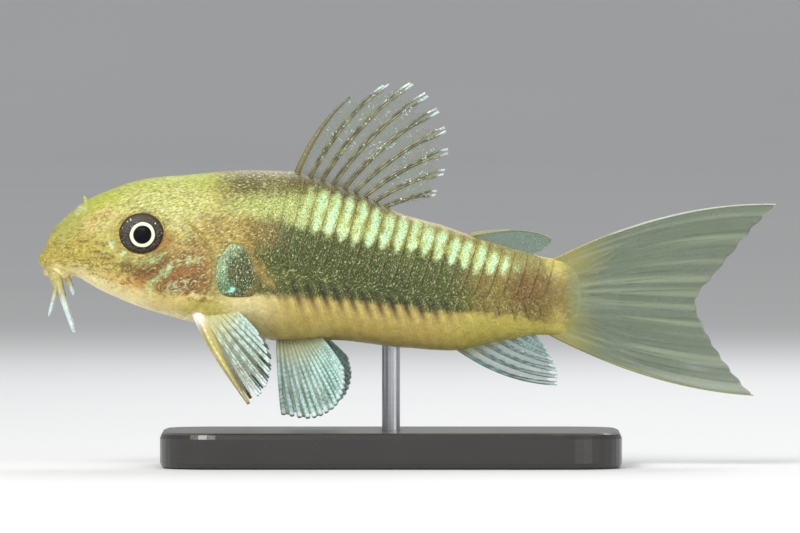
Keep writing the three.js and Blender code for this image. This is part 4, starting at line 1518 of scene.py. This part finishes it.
@dataclass(frozen=True)
class ShoulderPlate:
    """The broad teal plate behind the gill cover."""

    rows: int = 120
    columns: int = 100
    front: float = 17.9
    rear_top: float = 20.9
    rear_foot: float = 22.4
    foot: float = -3.6
    top: float = 1.7
    height: float = 0.09
    squareness: float = 3.4

    def ways(self) -> np.ndarray:
        """Return the angles from the outer face's middle to the inner face's."""
        return np.linspace(0.02, math.pi - 0.02, self.rows)

    def shape(self) -> Shape:
        """Return the left plate: a pillow over a rounded, leaning outline on the body."""
        way, turn = np.meshgrid(self.ways(), turns(self.columns), indexing="ij")
        reach = np.sin(way) ** 0.7
        cosine, sine = np.cos(turn), np.sin(turn)
        power = self.squareness
        square = 1 / (np.abs(cosine) ** power + np.abs(sine) ** power) ** (1 / power)
        u, v = reach * square * cosine, reach * square * sine
        z = (self.top + self.foot) / 2 + v * (self.top - self.foot) / 2
        rise = (z - self.foot) / (self.top - self.foot)
        rear = self.rear_foot + (self.rear_top - self.rear_foot) * rise
        front = self.front + 0.9 * smooth(rise, 0.55, 1.0)
        x = (front + rear) / 2 + u * (rear - front) / 2
        grow = np.where(way < math.pi / 2, self.height, -0.25) * np.abs(np.cos(way)) ** 0.6
        rings = BODY.point(x, BODY.angle_at(x, z), grow)
        rim = smooth(reach, 0.86, 1.0) * smooth(u, -0.5, 0.3)
        return loft(rings, self.marks(x, z, rim), self.patch())

    def marks(self, x: np.ndarray, z: np.ndarray, rim: np.ndarray) -> Marks:
        """Return the plate's colours.

        Args:
            x: Distance from the snout.
            z: Height.
            rim: How far each place lies on the brown rim, from 0 to 1.

        Returns:
            The marks.
        """
        paint = Paint(x, z, (82, 100, 68), 1.0, 0.4)
        paint.spots((((62, 80, 50), (20.9, -1.4, 1.3, 2.3, -62), 0.8, 0.9, 0.5),))
        broken = smooth(grain(x * 3.1, z * 3.1, 91), 0.45, 0.8)
        paint.lay((108, 96, 56), broken * 0.6, 0.9, 0.3)
        edge = ((18.3, -1.4), (18.3, 0.1), (18.8, 1.1), (20.0, 1.6))
        paint.strokes((((172, 202, 156), edge, (0.6, 1.0), 0.75, 0.9, 0.9),))
        paint.spots((
            ((112, 150, 112), (18.6, -2.3, 0.8, 1.2), 0.6, 0.95, 0.9),
            ((160, 244, 226), (19.5, -2.8, 0.28, 0.34), 1, 0.2, 1.0),
            ((116, 104, 58), (22.0, -2.4, 0.6, 1.6, -60), 0.7, 0.5, 0.2),
        ))
        paint.strokes((((60, 56, 34), ((18.0, -3.6), (22.2, -3.6)), (0.14,), 0.7, 0.2),))
        paint.lay((112, 100, 56), rim * 0.8, 0.6, 0.2)
        return paint.marks()

    def patch(self) -> np.ndarray:
        """Return the plate's own patch of the unwrap."""
        up, closed = np.meshgrid(self.ways(), np.linspace(0, 1, self.columns + 1), indexing="ij")
        return np.stack([0.02 + 0.96 * closed, 0.02 + 0.3 * up], -1)

    def build(self, side: Side, material: bpy.types.Material) -> None:
        """Make one plate.

        Args:
            side: The fish's side.
            material: Its finish.
        """
        make(f"shoulder_plate_{side.word}", self.shape().on(side), material)


@dataclass(frozen=True)
class Fin:
    """A rayed fin: a membrane from its root to its margin, with forked rays on it."""

    name: str
    root: Curve
    margin: Curve
    plane: tuple[float, float, float]
    bend: tuple[float, float]
    rays: int
    notch: float
    tone: "FinTone"
    slot: Slot
    spine: float = 0.0
    split: float = 0.5
    fork: float = 0.3
    swing: float = 0.0
    ray_width: float = 0.13
    side: Side | None = None
    gather: float = 0.0
    close: float = 0.0
    apart: float = 0.2
    taper: float = 0.62
    stop: float = 1.0

    def tips(self) -> Curve:
        """Return the margin, swung back about the root's front end."""
        turn = math.radians(self.swing)
        pivot = np.array(self.root[0])
        away = np.array(self.margin) - pivot
        x = away[:, 0] * math.cos(turn) - away[:, 2] * math.sin(turn)
        z = away[:, 0] * math.sin(turn) + away[:, 2] * math.cos(turn)
        return tuple(map(tuple, np.stack([x, away[:, 1], z], -1) + pivot))

    def place(self, at: np.ndarray | float, v: np.ndarray | float) -> np.ndarray:
        """Return places on the fin's middle surface.

        Each is on a parabola from the root to the margin, whose middle control point is bowed
        across the fin.

        Args:
            at: Share of the way from the fin's front to its rear.
            v: Share of the way from the root to the margin.

        Returns:
            An array of places.
        """
        at, v = np.broadcast_arrays(np.asarray(at, float), np.asarray(v, float))
        start, end = through(self.root, at), through(self.tips(), at)
        chord = end - start
        across = np.cross(np.array(self.plane), chord)
        bow = self.bend[0] + (self.bend[1] - self.bend[0]) * at
        control = start + 0.55 * chord + across * bow[..., None]
        v = v[..., None]
        return start * (1 - v) ** 2 + control * 2 * v * (1 - v) + end * v * v

    def across(self, path: np.ndarray) -> np.ndarray:
        """Return the direction across a ray, in the fin's surface, at each place of its path."""
        return np.cross(np.gradient(path, axis=0), np.array(self.plane))

    def rank(self, ray: int) -> float:
        """Return how far along the fin a ray stands, from 0 to 1."""
        edge = 0.3 / self.rays
        return edge + (1 - 2 * edge) * ray / (self.rays - 1)

    def membrane(self) -> Shape:
        """Return the membrane, which falls short of the ray tips by the notch, between them most."""
        at, v = np.meshgrid(np.linspace(0, 1, self.rays * 9 + 1), np.linspace(-0.05, 1, 64), indexing="ij")
        edge = self.rank(0)
        beat = np.abs(np.cos(math.pi * (at - edge) / (1 - 2 * edge) * (self.rays - 1)))
        short = self.notch * (1 - beat**1.6) + 0.02
        reach = v * (1 - short * np.clip(v, 0, 1))
        wave = 0.06 * np.sin(at * self.rays * 3.1 + v * 5) * smooth(v, 0.2, 1)
        middle = self.place(at, reach) + wave[..., None] * np.array(self.plane)
        return sheet(middle, 0.17 - 0.12 * smooth(v, 0, 0.5), self.tone.membrane(at, v))

    def ray(self, number: int) -> list[Shape]:
        """Return one ray as two half rays that lie side by side, then part and fork again.

        Args:
            number: Which ray, from the front.

        Returns:
            Its closed shapes.
        """
        if number == 0 and self.spine > 0:
            return [self.front_spine()]
        if self.tone.edges and number in (0, self.rays - 1):
            return [self.edge(number > 0)]
        return [self.branch(number, half, tip) for half in (-1, 1) for tip in (-1, 1)]

    def branch(self, number: int, half: int, tip: int) -> Shape:
        """Return one branch of a ray.

        Args:
            number: Which ray, from the front.
            half: Which half of the ray, -1 or 1.
            tip: Which fork of that half, -1 or 1. The first one reaches back to the root.

        Returns:
            The closed shape.
        """
        v = np.linspace(-0.04 if tip < 0 else self.split + 0.12, self.stop, 62)
        parting = self.apart * (1 - 0.5 * smooth(v, 0.2, 0.9))
        parting = parting + self.fork * smooth(v, self.split - 0.12, 1.0)
        parting = parting * (1 - self.close * smooth(v, 0.84, 1.02))
        again = 0.2 * self.fork * smooth(v, self.split + 0.12, 1.0) * tip
        at = self.rank(number) + 0.5 * (half * parting + again) / (self.rays - 1)
        at = 0.5 + (at - 0.5) * (1 - self.gather * (1 - smooth(v, -0.05, 0.5)))
        joint = 1 + 0.1 * np.cos(v * 150) * smooth(v, 0.25, 0.45)
        wide = self.ray_width * (1 - self.taper * smooth(v, 0.3, 1.05)) * joint
        across = self.across(self.place(np.clip(at, 0.02, 0.98), np.clip(v, 0, 1)))
        marks = self.tone.ray(v, number / (self.rays - 1), number * 4 + half + tip * 2)
        return tube(self.place(np.clip(at, 0, 1), v), wide, wide * 1.25, across, 7, marks)

    def edge(self, rear: bool) -> Shape:
        """Return the thin stiff ray along the fin's front or rear edge.

        Args:
            rear: Whether it is the rear edge.

        Returns:
            The closed shape.
        """
        v = np.linspace(-0.02, 0.985, 90)
        path = self.place(0.997 if rear else 0.003, v)
        wide = 0.11 * (1 - 0.5 * smooth(v, 0.3, 1.0))
        rgb = layered(srgb(*self.tone.edges[int(rear)]), (self.tone.root, 1 - smooth(v, 0.1, 0.45)))
        marks = {"colour": with_alpha(rgb, 0.95), "speck": 0 * v}
        return tube(path, wide, wide, self.across(path), 8, marks)

    def front_spine(self) -> Shape:
        """Return the thick first ray, a tapered oval spine."""
        v = np.linspace(-0.06, 1, 90)
        path = self.place(self.rank(0) * 0.6, v)
        knob = 1 + 0.03 * np.cos(v * 120) * smooth(v, 0.1, 0.4)
        wide = self.spine * 0.5 * (1 - 0.74 * smooth(v, 0.15, 1.08)) * knob
        return tube(path, wide, wide * 0.9, self.across(path), SPINE_SIDES, self.tone.spine(v))

    def build(self, membrane: bpy.types.Material, bone: bpy.types.Material) -> None:
        """Make the fin's two pieces, the first in the place of its node.

        Args:
            membrane: The membrane's finish.
            bone: The rays' finish.
        """
        rods = joined([shape for number in range(self.rays) for shape in self.ray(number)])
        side = self.side or Side.LEFT
        suffix = f"_{self.side.word}" if self.side else ""
        web = self.membrane().on(side)
        make(f"{self.name}_membrane{suffix}", web, membrane, (f"{self.name}{suffix}",))
        make(f"{self.name}_rays{suffix}", rods.on(side), bone)


@dataclass(frozen=True)
class FinTone:
    """The colours of one fin, from its root to its margin."""

    web: Colour
    web_root: Colour
    dark: Colour
    light: Colour
    tip: Colour
    root: Colour
    clear: float = 0.22
    clear_root: float = 0.6
    fade: tuple[float, float] = (0.02, 0.3)
    sparkle: float = 0.5
    band: float = 0.35
    bands: float = 55.0
    ray_clear: float = 0.94
    rear_light: float = 0.0
    uneven: float = 0.9
    streak: float = 0.0
    spine_base: Colour = (196, 180, 96)
    spine_tip: Colour = (150, 136, 82)
    spine_patch: Colour | None = None
    edges: tuple[Colour, Colour] | None = None

    def membrane(self, at: np.ndarray, v: np.ndarray) -> Marks:
        """Return the membrane's marks: denser and warmer at the root.

        Args:
            at: Share of the way along the fin.
            v: Share of the way out.

        Returns:
            The marks.
        """
        root = 1 - smooth(v + 0.06 * (grain(at * 9, v * 2, 52) - 0.5), *self.fade)
        rgb = layered(srgb(*self.web), (self.web_root, root))
        rgb = rgb * (0.9 + 0.2 * grain(at * 40, v * 2, 53))[..., None]
        lines = smooth(grain(at * 34, v * 1.2, 54), 0.45, 0.85) * smooth(v, 0.05, 0.3)
        rgb = layered(rgb, (self.light, lines * self.streak))
        alpha = self.clear * (0.8 + 0.4 * grain(at * 30, v * 5, 51))
        alpha = alpha + (self.clear_root - alpha) * root
        return {"colour": with_alpha(rgb, alpha), "speck": 0.7 * self.sparkle * smooth(v, 0.1, 0.5)}

    def ray(self, v: np.ndarray, at: float, seed: int) -> Marks:
        """Return a ray's marks: dark and light segments from a warm root to a bright tip.

        Args:
            v: Share of the way out.
            at: Share of the way along the fin.
            seed: Which half ray.

        Returns:
            The marks.
        """
        rng = np.random.default_rng(seed + 100)
        phase = rng.random() * 6
        beat = 0.5 + 0.5 * np.sin(v * self.bands + phase)
        patch = grain(v * 9 + phase, np.full(v.shape, float(seed)), 61)
        level = self.band + self.rear_light * (at - 0.5) * smooth(v, 0.1, 0.6)
        light = np.clip(level + (beat - 0.5) * 0.6 + (patch - 0.5) * self.uneven, 0, 1)
        root = 1 - smooth(v, self.fade[0], self.fade[1] + 0.06)
        tip = smooth(v, 0.88, 0.97) * (0.4 + 0.6 * rng.random())
        rgb = layered(srgb(*self.dark), (self.light, light), (self.root, root), (self.tip, tip))
        alpha = self.ray_clear + (1 - self.ray_clear) * root
        return {"colour": with_alpha(rgb, alpha), "speck": self.sparkle * smooth(v, 0.1, 0.4)}

    def spine(self, v: np.ndarray) -> Marks:
        """Return the front spine's marks, with thin brown lines along it.

        Args:
            v: Share of the way out.

        Returns:
            The marks.
        """
        plain = layered(srgb(*self.spine_base), (self.spine_tip, smooth(v, 0.2, 1.0)))
        across = 3 + 2.2 * np.cos(turns(SPINE_SIDES)[None] * 3)
        lines = smooth(grain(v[:, None] * 5, across, 62), 0.5, 0.75)
        rgb = layered(np.repeat(plain[:, None], SPINE_SIDES, 1), ((112, 92, 46), lines * 0.6))
        if self.spine_patch:
            rgb = layered(rgb, (self.spine_patch, bell(v, 0.12, 0.1)[:, None] * 0.9))
        return {"colour": with_alpha(rgb, 1.0), "speck": 0.1 + 0 * v}


def on_middle(points: Line) -> Curve:
    """Return places (x, z) on the body's middle plane."""
    return tuple((x, 0.0, z) for x, z in points)


MIDDLE_PLANE = (0.0, -1.0, 0.0)
DORSAL_TONE = FinTone(
    (126, 138, 112), (112, 104, 66), (80, 80, 48), (146, 144, 98), (226, 250, 248), (104, 94, 54),
    clear=0.2, clear_root=0.65, fade=(0.0, 0.14), sparkle=0.8, band=0.35, spine_base=(124, 118, 74),
    spine_tip=(88, 92, 68))
CAUDAL_TONE = FinTone(
    (110, 125, 104), (148, 144, 84), (136, 148, 120), (166, 178, 148), (150, 162, 128), (172, 164, 94),
    clear=0.7, clear_root=1.0, fade=(0.1, 0.36), sparkle=0.0, ray_clear=0.2, bands=20.0, streak=0.5,
    edges=((198, 204, 188), (154, 158, 88)))
ANAL_TONE = FinTone(
    (126, 150, 144), (184, 176, 102), (102, 126, 116), (158, 200, 200), (200, 232, 234),
    (176, 168, 98), clear=0.32, clear_root=0.85, fade=(0.02, 0.22), sparkle=0.15, rear_light=0.6,
    uneven=0.6)
PECTORAL_TONE = FinTone(
    (150, 166, 144), (196, 190, 118), (142, 146, 104), (206, 236, 234), (226, 250, 252), (196, 192, 124),
    clear=0.24, clear_root=0.75, fade=(0.08, 0.5), sparkle=0.3, band=0.55, rear_light=0.5, uneven=0.4,
    spine_base=(196, 186, 104), spine_tip=(168, 156, 82), spine_patch=(252, 248, 244))
PELVIC_TONE = FinTone(
    (96, 112, 90), (146, 148, 106), (108, 144, 128), (196, 232, 228), (226, 248, 246), (150, 154, 112),
    clear=0.75, clear_root=0.8, fade=(0.14, 0.46), sparkle=0.3, band=0.6, bands=110.0, ray_clear=0.95)
ADIPOSE_TONE = FinTone(
    (108, 136, 116), (150, 144, 90), (150, 140, 84), (214, 206, 140), (220, 214, 150), (170, 150, 84),
    clear=0.5, clear_root=0.85, sparkle=0.2, spine_base=(166, 164, 112), spine_tip=(158, 160, 112))

MIDDLE_FINS = (
    Fin("dorsal_fin", on_middle(((25.3, 7.7), (30, 6.4), (33.6, 4.6))),
        on_middle(((30.7, 16.2), (37.1, 17.7), (40, 15), (41, 10.6), (39.6, 6.1))),
        MIDDLE_PLANE, (0.13, 0.1), 9, 0.16, DORSAL_TONE, Slot.CLEAR_FIN, spine=0.62, split=0.78,
        fork=0.24, apart=0.17, close=0.5, ray_width=0.16, taper=0.4),
    Fin("anal_fin", on_middle(((40.9, -8.3), (45.5, -7.7), (49.3, -6.8))),
        on_middle(((51.9, -12.5), (51.9, -11), (51.2, -9.5), (50.5, -8.5))),
        MIDDLE_PLANE, (-0.17, -0.02), 7, 0.09, ANAL_TONE, Slot.CLEAR_FIN),
    Fin("caudal_fin", on_middle(((50.6, -0.45), (50.1, -3.8), (50.6, -7.15))),
        on_middle(((74.2, 5.6), (71.4, 2.6), (68.4, -1), (66.1, -4.1), (67.3, -7.5), (69.4, -10.7),
                   (71.9, -13.6))),
        MIDDLE_PLANE, (0.13, -0.11), 14, 0.012, CAUDAL_TONE, Slot.CLEAR_FIN, split=0.35, fork=0.42,
        ray_width=0.1, gather=0.45, stop=0.965),
)


def paired_fins(side: Side) -> tuple[Fin, ...]:
    """Return one side's pectoral and pelvic fin, given on the left side.

    Args:
        side: The fish's side.

    Returns:
        The two fins.
    """
    pectoral = Fin(
        "pectoral_fin", ((15.5, -3.4, -4.3), (17.1, -3.8, -4.2), (18.7, -3.9, -4.1)),
        ((21, -10.4, -14.2), (22.7, -10.4, -12.6), (23.2, -9.9, -10.4), (22.8, -9.1, -8.6), (21.9, -8, -6.9)),
        (0.28, -0.86, 0.42), (-0.05, 0.07), 8, 0.18, PECTORAL_TONE, Slot.MINT_FIN, spine=1.25,
        fork=0.12, apart=0.3, ray_width=0.15, taper=0.3, side=side)
    pelvic = Fin(
        "pelvic_fin", ((24, -2, -7), (25.8, -2.1, -7), (27.5, -2.2, -6.9)),
        ((24.6, -5.4, -15.4), (27.6, -6, -15.7), (29.7, -6.2, -14.6), (30.6, -6, -12.7), (30.5, -5.4, -10.9)),
        (0.1, -0.93, 0.35), (-0.05, 0.08), 8, 0.05, PELVIC_TONE, Slot.MINT_FIN, split=0.4, fork=0.26,
        apart=0.46, ray_width=0.17, taper=-0.3, stop=0.985, side=side,
        swing=7.0 if side is Side.RIGHT else 0.0)
    return pectoral, pelvic


@dataclass(frozen=True)
class AdiposeFin:
    """The small soft fin before the tail: one strong spine with a clear sail behind it."""

    fin: Fin = Fin("adipose_fin", on_middle(((41.6, 2.2), (44.6, 1.2), (48, 0.2))),
                   on_middle(((47, 2.98), (49.6, 2.75), (51.3, 2), (50.3, 0.9))),
                   MIDDLE_PLANE, (0.05, 0.0), 2, 0.0, ADIPOSE_TONE, Slot.CLEAR_FIN)

    def build(self, membrane: bpy.types.Material, bone: bpy.types.Material) -> None:
        """Make the sail, and the spine along its top with the pale rim behind it.

        Args:
            membrane: The sail's finish.
            bone: The spine's and the rim's finish.
        """
        fin, tone = self.fin, self.fin.tone
        at, v = np.meshgrid(np.linspace(0, 1, 90), np.linspace(-0.05, 1, 60), indexing="ij")
        sail = sheet(fin.place(at, v), 0.2 - 0.12 * smooth(v, 0, 0.5), tone.membrane(at, v))
        make("adipose_membrane", sail, membrane, (fin.name,))
        upright = np.array([0.0, 0.0, 1.0])
        along, back = np.linspace(-0.05, 1, 80), np.linspace(0, 1, 80)
        wide, thin = 0.26 * (1 - 0.62 * smooth(along, 0.1, 1.0)), np.full(80, 0.07)
        rod = tube(fin.place(0.03, along), wide, wide, upright, SPINE_SIDES, tone.spine(along * 0.6))
        rim = tube(fin.place(back, 1.0), thin, thin, upright, SPINE_SIDES, tone.spine(back * 0.3))
        make("adipose_spine", joined([rod, rim]), bone)


@dataclass(frozen=True)
class Barbels:
    """The barbels at the mouth, each on a fleshy root, given on the right side."""

    lobe: Curve = ((1.6, 1.05, -0.7), (1.85, 1.5, -1.9), (2.2, 1.8, -2.95))
    upper: Curve = ((2.0, 1.7, -2.1), (2.6, 2.4, -4), (3.15, 2.8, -5.7), (3.7, 2.9, -7.2))
    lower: Curve = ((1.95, 1.6, -2.2), (1.75, 1.95, -3.3), (1.4, 2.15, -4.5), (1.1, 2.2, -5.6))
    chin: Curve = ((2.6, 0.72, -0.9), (3.0, 0.9, -1.9), (3.35, 1, -2.8), (3.6, 1.05, -3.5))

    def strand(self, points: Curve, start: float, end: float, pale: float) -> Shape:
        """Return one soft tapered strand, yellow at its root and pale at its tip.

        Args:
            points: The places that it passes, on the right side.
            start: Its radius at the root.
            end: Its radius at the tip.
            pale: Where along it the colour turns pale.

        Returns:
            The closed shape on the fish's right side.
        """
        share = np.linspace(0, 1, 70)
        radius = start + (end - start) * share**0.8
        radius = radius * (1 + 0.012 * np.sin(share * 40)) * np.sqrt(1 - smooth(share, 0.93, 1.0) * 0.8)
        rgb = layered(srgb(182, 170, 100), ((204, 222, 226), smooth(share, pale - 0.3, pale + 0.3)))
        dust = grain(share * 16, np.full(share.shape, 3.0), 71)[:, None]
        rgb = np.clip(rgb * (0.82 + 0.3 * dust), 0, 1)
        marks = {"colour": with_alpha(rgb, 1.0), "speck": 0.1 + 0 * share}
        return tube(through(points, share), radius, radius, np.array([1.0, 0.0, 0.0]), 18, marks)

    def build(self, side: Side, material: bpy.types.Material) -> None:
        """Make one side's barbels.

        Args:
            side: The fish's side.
            material: Their finish.
        """
        strands = {
            "upper": [self.strand(self.lobe, 0.85, 0.42, 1.3), self.strand(self.upper, 0.4, 0.16, 0.3)],
            "lower": [self.strand(self.lower, 0.36, 0.1, 0.5)],
            "chin": [self.strand(self.chin, 0.42, 0.14, 0.6)],
        }
        for name, shapes in strands.items():
            node = f"barbel_{name}_{side.word}"
            make(f"{node}_skin", joined(shapes).on(side, Side.RIGHT), material, (node,))


@dataclass(frozen=True)
class NasalFlap:
    """The small skin flap that stands before the rear nostril, given on the right side."""

    foot: tuple[float, float, float] = (4.95, 1.25, 5.55)
    length: float = 0.75

    def build(self, side: Side, material: bpy.types.Material) -> None:
        """Make one flap: a flat pointed lobe that leans forward.

        Args:
            side: The fish's side.
            material: Its finish.
        """
        share = np.linspace(0, 1, 30)
        path = np.array(self.foot) + share[:, None] * np.array([-0.45, 0.12, 1.15]) * self.length
        wide = 0.26 * (1 - share) ** 0.7 + 0.03
        rgb = np.ones((len(share), 3)) * srgb(176, 180, 92)
        marks = {"colour": with_alpha(rgb, 1.0), "speck": 0.2 + 0 * share, "gleam": 0 * share}
        shape = tube(path, wide, wide * 0.45, np.array([1.0, 0.0, 0.3]), 14, marks)
        make(f"nasal_flap_{side.word}", shape.on(side, Side.RIGHT), material)


@dataclass(frozen=True)
class Studio:
    """The plain pale floor, the soft lights and the camera, in metres."""

    distance: float = 1.5
    across: float = 0.080
    look_at: tuple[float, float, float] = (0.0009, 0.0, 0.01995)
    elevation: float = 1.0
    floor_radius: float = 2.8
    floor_bend: float = 0.6
    floor_sides: int = 96
    floor_rows: int = 16
    sensor: float = 36.0  # width of the camera's sensor, in mm

    def floor(self) -> None:
        """Make the floor: a wide flat disc whose rim bends up all round."""
        turn = turns(self.floor_sides)[None]
        rise = np.linspace(0, math.pi / 3, self.floor_rows)[:, None]
        radius = self.floor_radius + self.floor_bend * np.sin(rise)
        height = self.floor_bend * (1 - np.cos(rise)) + 0 * turn
        points = np.stack([radius * np.cos(turn), radius * np.sin(turn), height], -1)
        rim = grid_faces(self.floor_rows, self.floor_sides, True)[:, ::-1].tolist()
        mesh = bpy.data.meshes.new("floor")
        mesh.from_pydata(points.reshape(-1, 3).tolist(), [], [list(range(self.floor_sides)), *rim])
        mesh.shade_smooth()
        nodes = Nodes("pale_floor")
        colour = nodes.mix(nodes.noise(120.0, 2.0), rgba(226, 228, 230), rgba(232, 233, 234))
        nodes.set(Base_Color=colour, Roughness=0.7)
        mesh.materials.append(nodes.material)
        floor = bpy.data.objects.new("floor", mesh)
        bpy.context.scene.collection.objects.link(floor)

    def light(self, name: str, place: tuple[float, float, float], size: float, power: float,
              colour: tuple[float, float, float] = (1.0, 1.0, 1.0)) -> None:
        """Make one soft square light that faces the fish.

        Args:
            name: The light's name.
            place: Where it stands.
            size: Its width.
            power: Its power in watts.
            colour: Its colour.
        """
        lamp = bpy.data.lights.new(name, "AREA")
        lamp.size = size
        lamp.energy = power
        lamp.color = colour
        piece = bpy.data.objects.new(name, lamp)
        piece.location = place
        aim = Vector(self.look_at) - Vector(place)
        piece.rotation_euler = aim.to_track_quat("-Z", "Y").to_euler()
        bpy.context.scene.collection.objects.link(piece)

    def camera(self) -> None:
        """Make the camera, level with the fish's side as in the photograph."""
        lens = bpy.data.cameras.new("camera")
        lens.sensor_width = self.sensor
        lens.lens = self.sensor * self.distance / self.across
        lens.clip_start = 0.01
        lens.clip_end = 20.0
        piece = bpy.data.objects.new("camera", lens)
        lift = math.radians(self.elevation)
        aim = Vector(self.look_at)
        piece.location = aim + self.distance * Vector((0.0, -math.cos(lift), math.sin(lift)))
        piece.rotation_euler = (aim - piece.location).to_track_quat("-Z", "Y").to_euler()
        bpy.context.scene.collection.objects.link(piece)
        bpy.context.scene.camera = piece

    def build(self) -> None:
        """Make the whole studio."""
        self.floor()
        self.light("key", (-0.22, -0.34, 0.36), 0.26, 2.3, (1.0, 0.985, 0.95))
        self.light("fill", (0.34, -0.36, 0.16), 0.3, 0.8)
        self.light("rear", (0.1, 0.34, 0.34), 0.3, 0.9)
        world = bpy.data.worlds.new("studio")
        world.use_nodes = True
        background = world.node_tree.nodes["Background"]
        background.inputs["Color"].default_value = (1.0, 1.0, 1.0, 1.0)
        background.inputs["Strength"].default_value = 0.42
        bpy.context.scene.world = world
        bpy.context.scene.view_settings.view_transform = "Standard"
        self.camera()


def dress_stand() -> None:
    """Give the stand's two nodes their finishes."""
    base = StandFinish("stand_acrylic", (48, 46, 45), 0.16).material()
    rod = StandFinish("stand_steel", (176, 178, 182), 0.24, 1.0, (1, 1, 0.05)).material()
    for name, material in (("stand_base", base), ("stand_rod", rod)):
        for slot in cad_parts[name].material_slots:
            slot.material = material
        log.info("%s dressed", name)


def main() -> None:
    """Build every piece and report each."""
    logging.basicConfig(level=logging.INFO, format="%(message)s")
    Studio().build()
    skin = SkinFinish("fish_skin", cell=0.13, lean=68.0, long=2.4, pit_shade=0.42).material()
    plates = SkinFinish("bony_plates", cell=0.105, long=1.6, relief=0.06, roughness=0.38).material()
    membrane = FinFinish("fin_membrane").material()
    bone = FinFinish("fin_rays", streak=0.2).material()
    barbel = FinFinish("barbel_flesh", roughness=0.42, streak=0.3).material()
    globe, cornea = GlobeFinish().material(), CorneaFinish().material()
    Skin().build(skin)
    for side in Side:
        Eye().build(side, globe, cornea)
        PlateRow(side, True).build(plates)
        PlateRow(side, False).build(plates)
        ShoulderPlate().build(side, plates)
        Barbels().build(side, barbel)
        NasalFlap().build(side, skin)
    for fin in (*MIDDLE_FINS, *paired_fins(Side.LEFT), *paired_fins(Side.RIGHT)):
        fin.build(membrane, bone)
    AdiposeFin().build(membrane, bone)
    dress_stand()


if __name__ == "__main__":
    main()
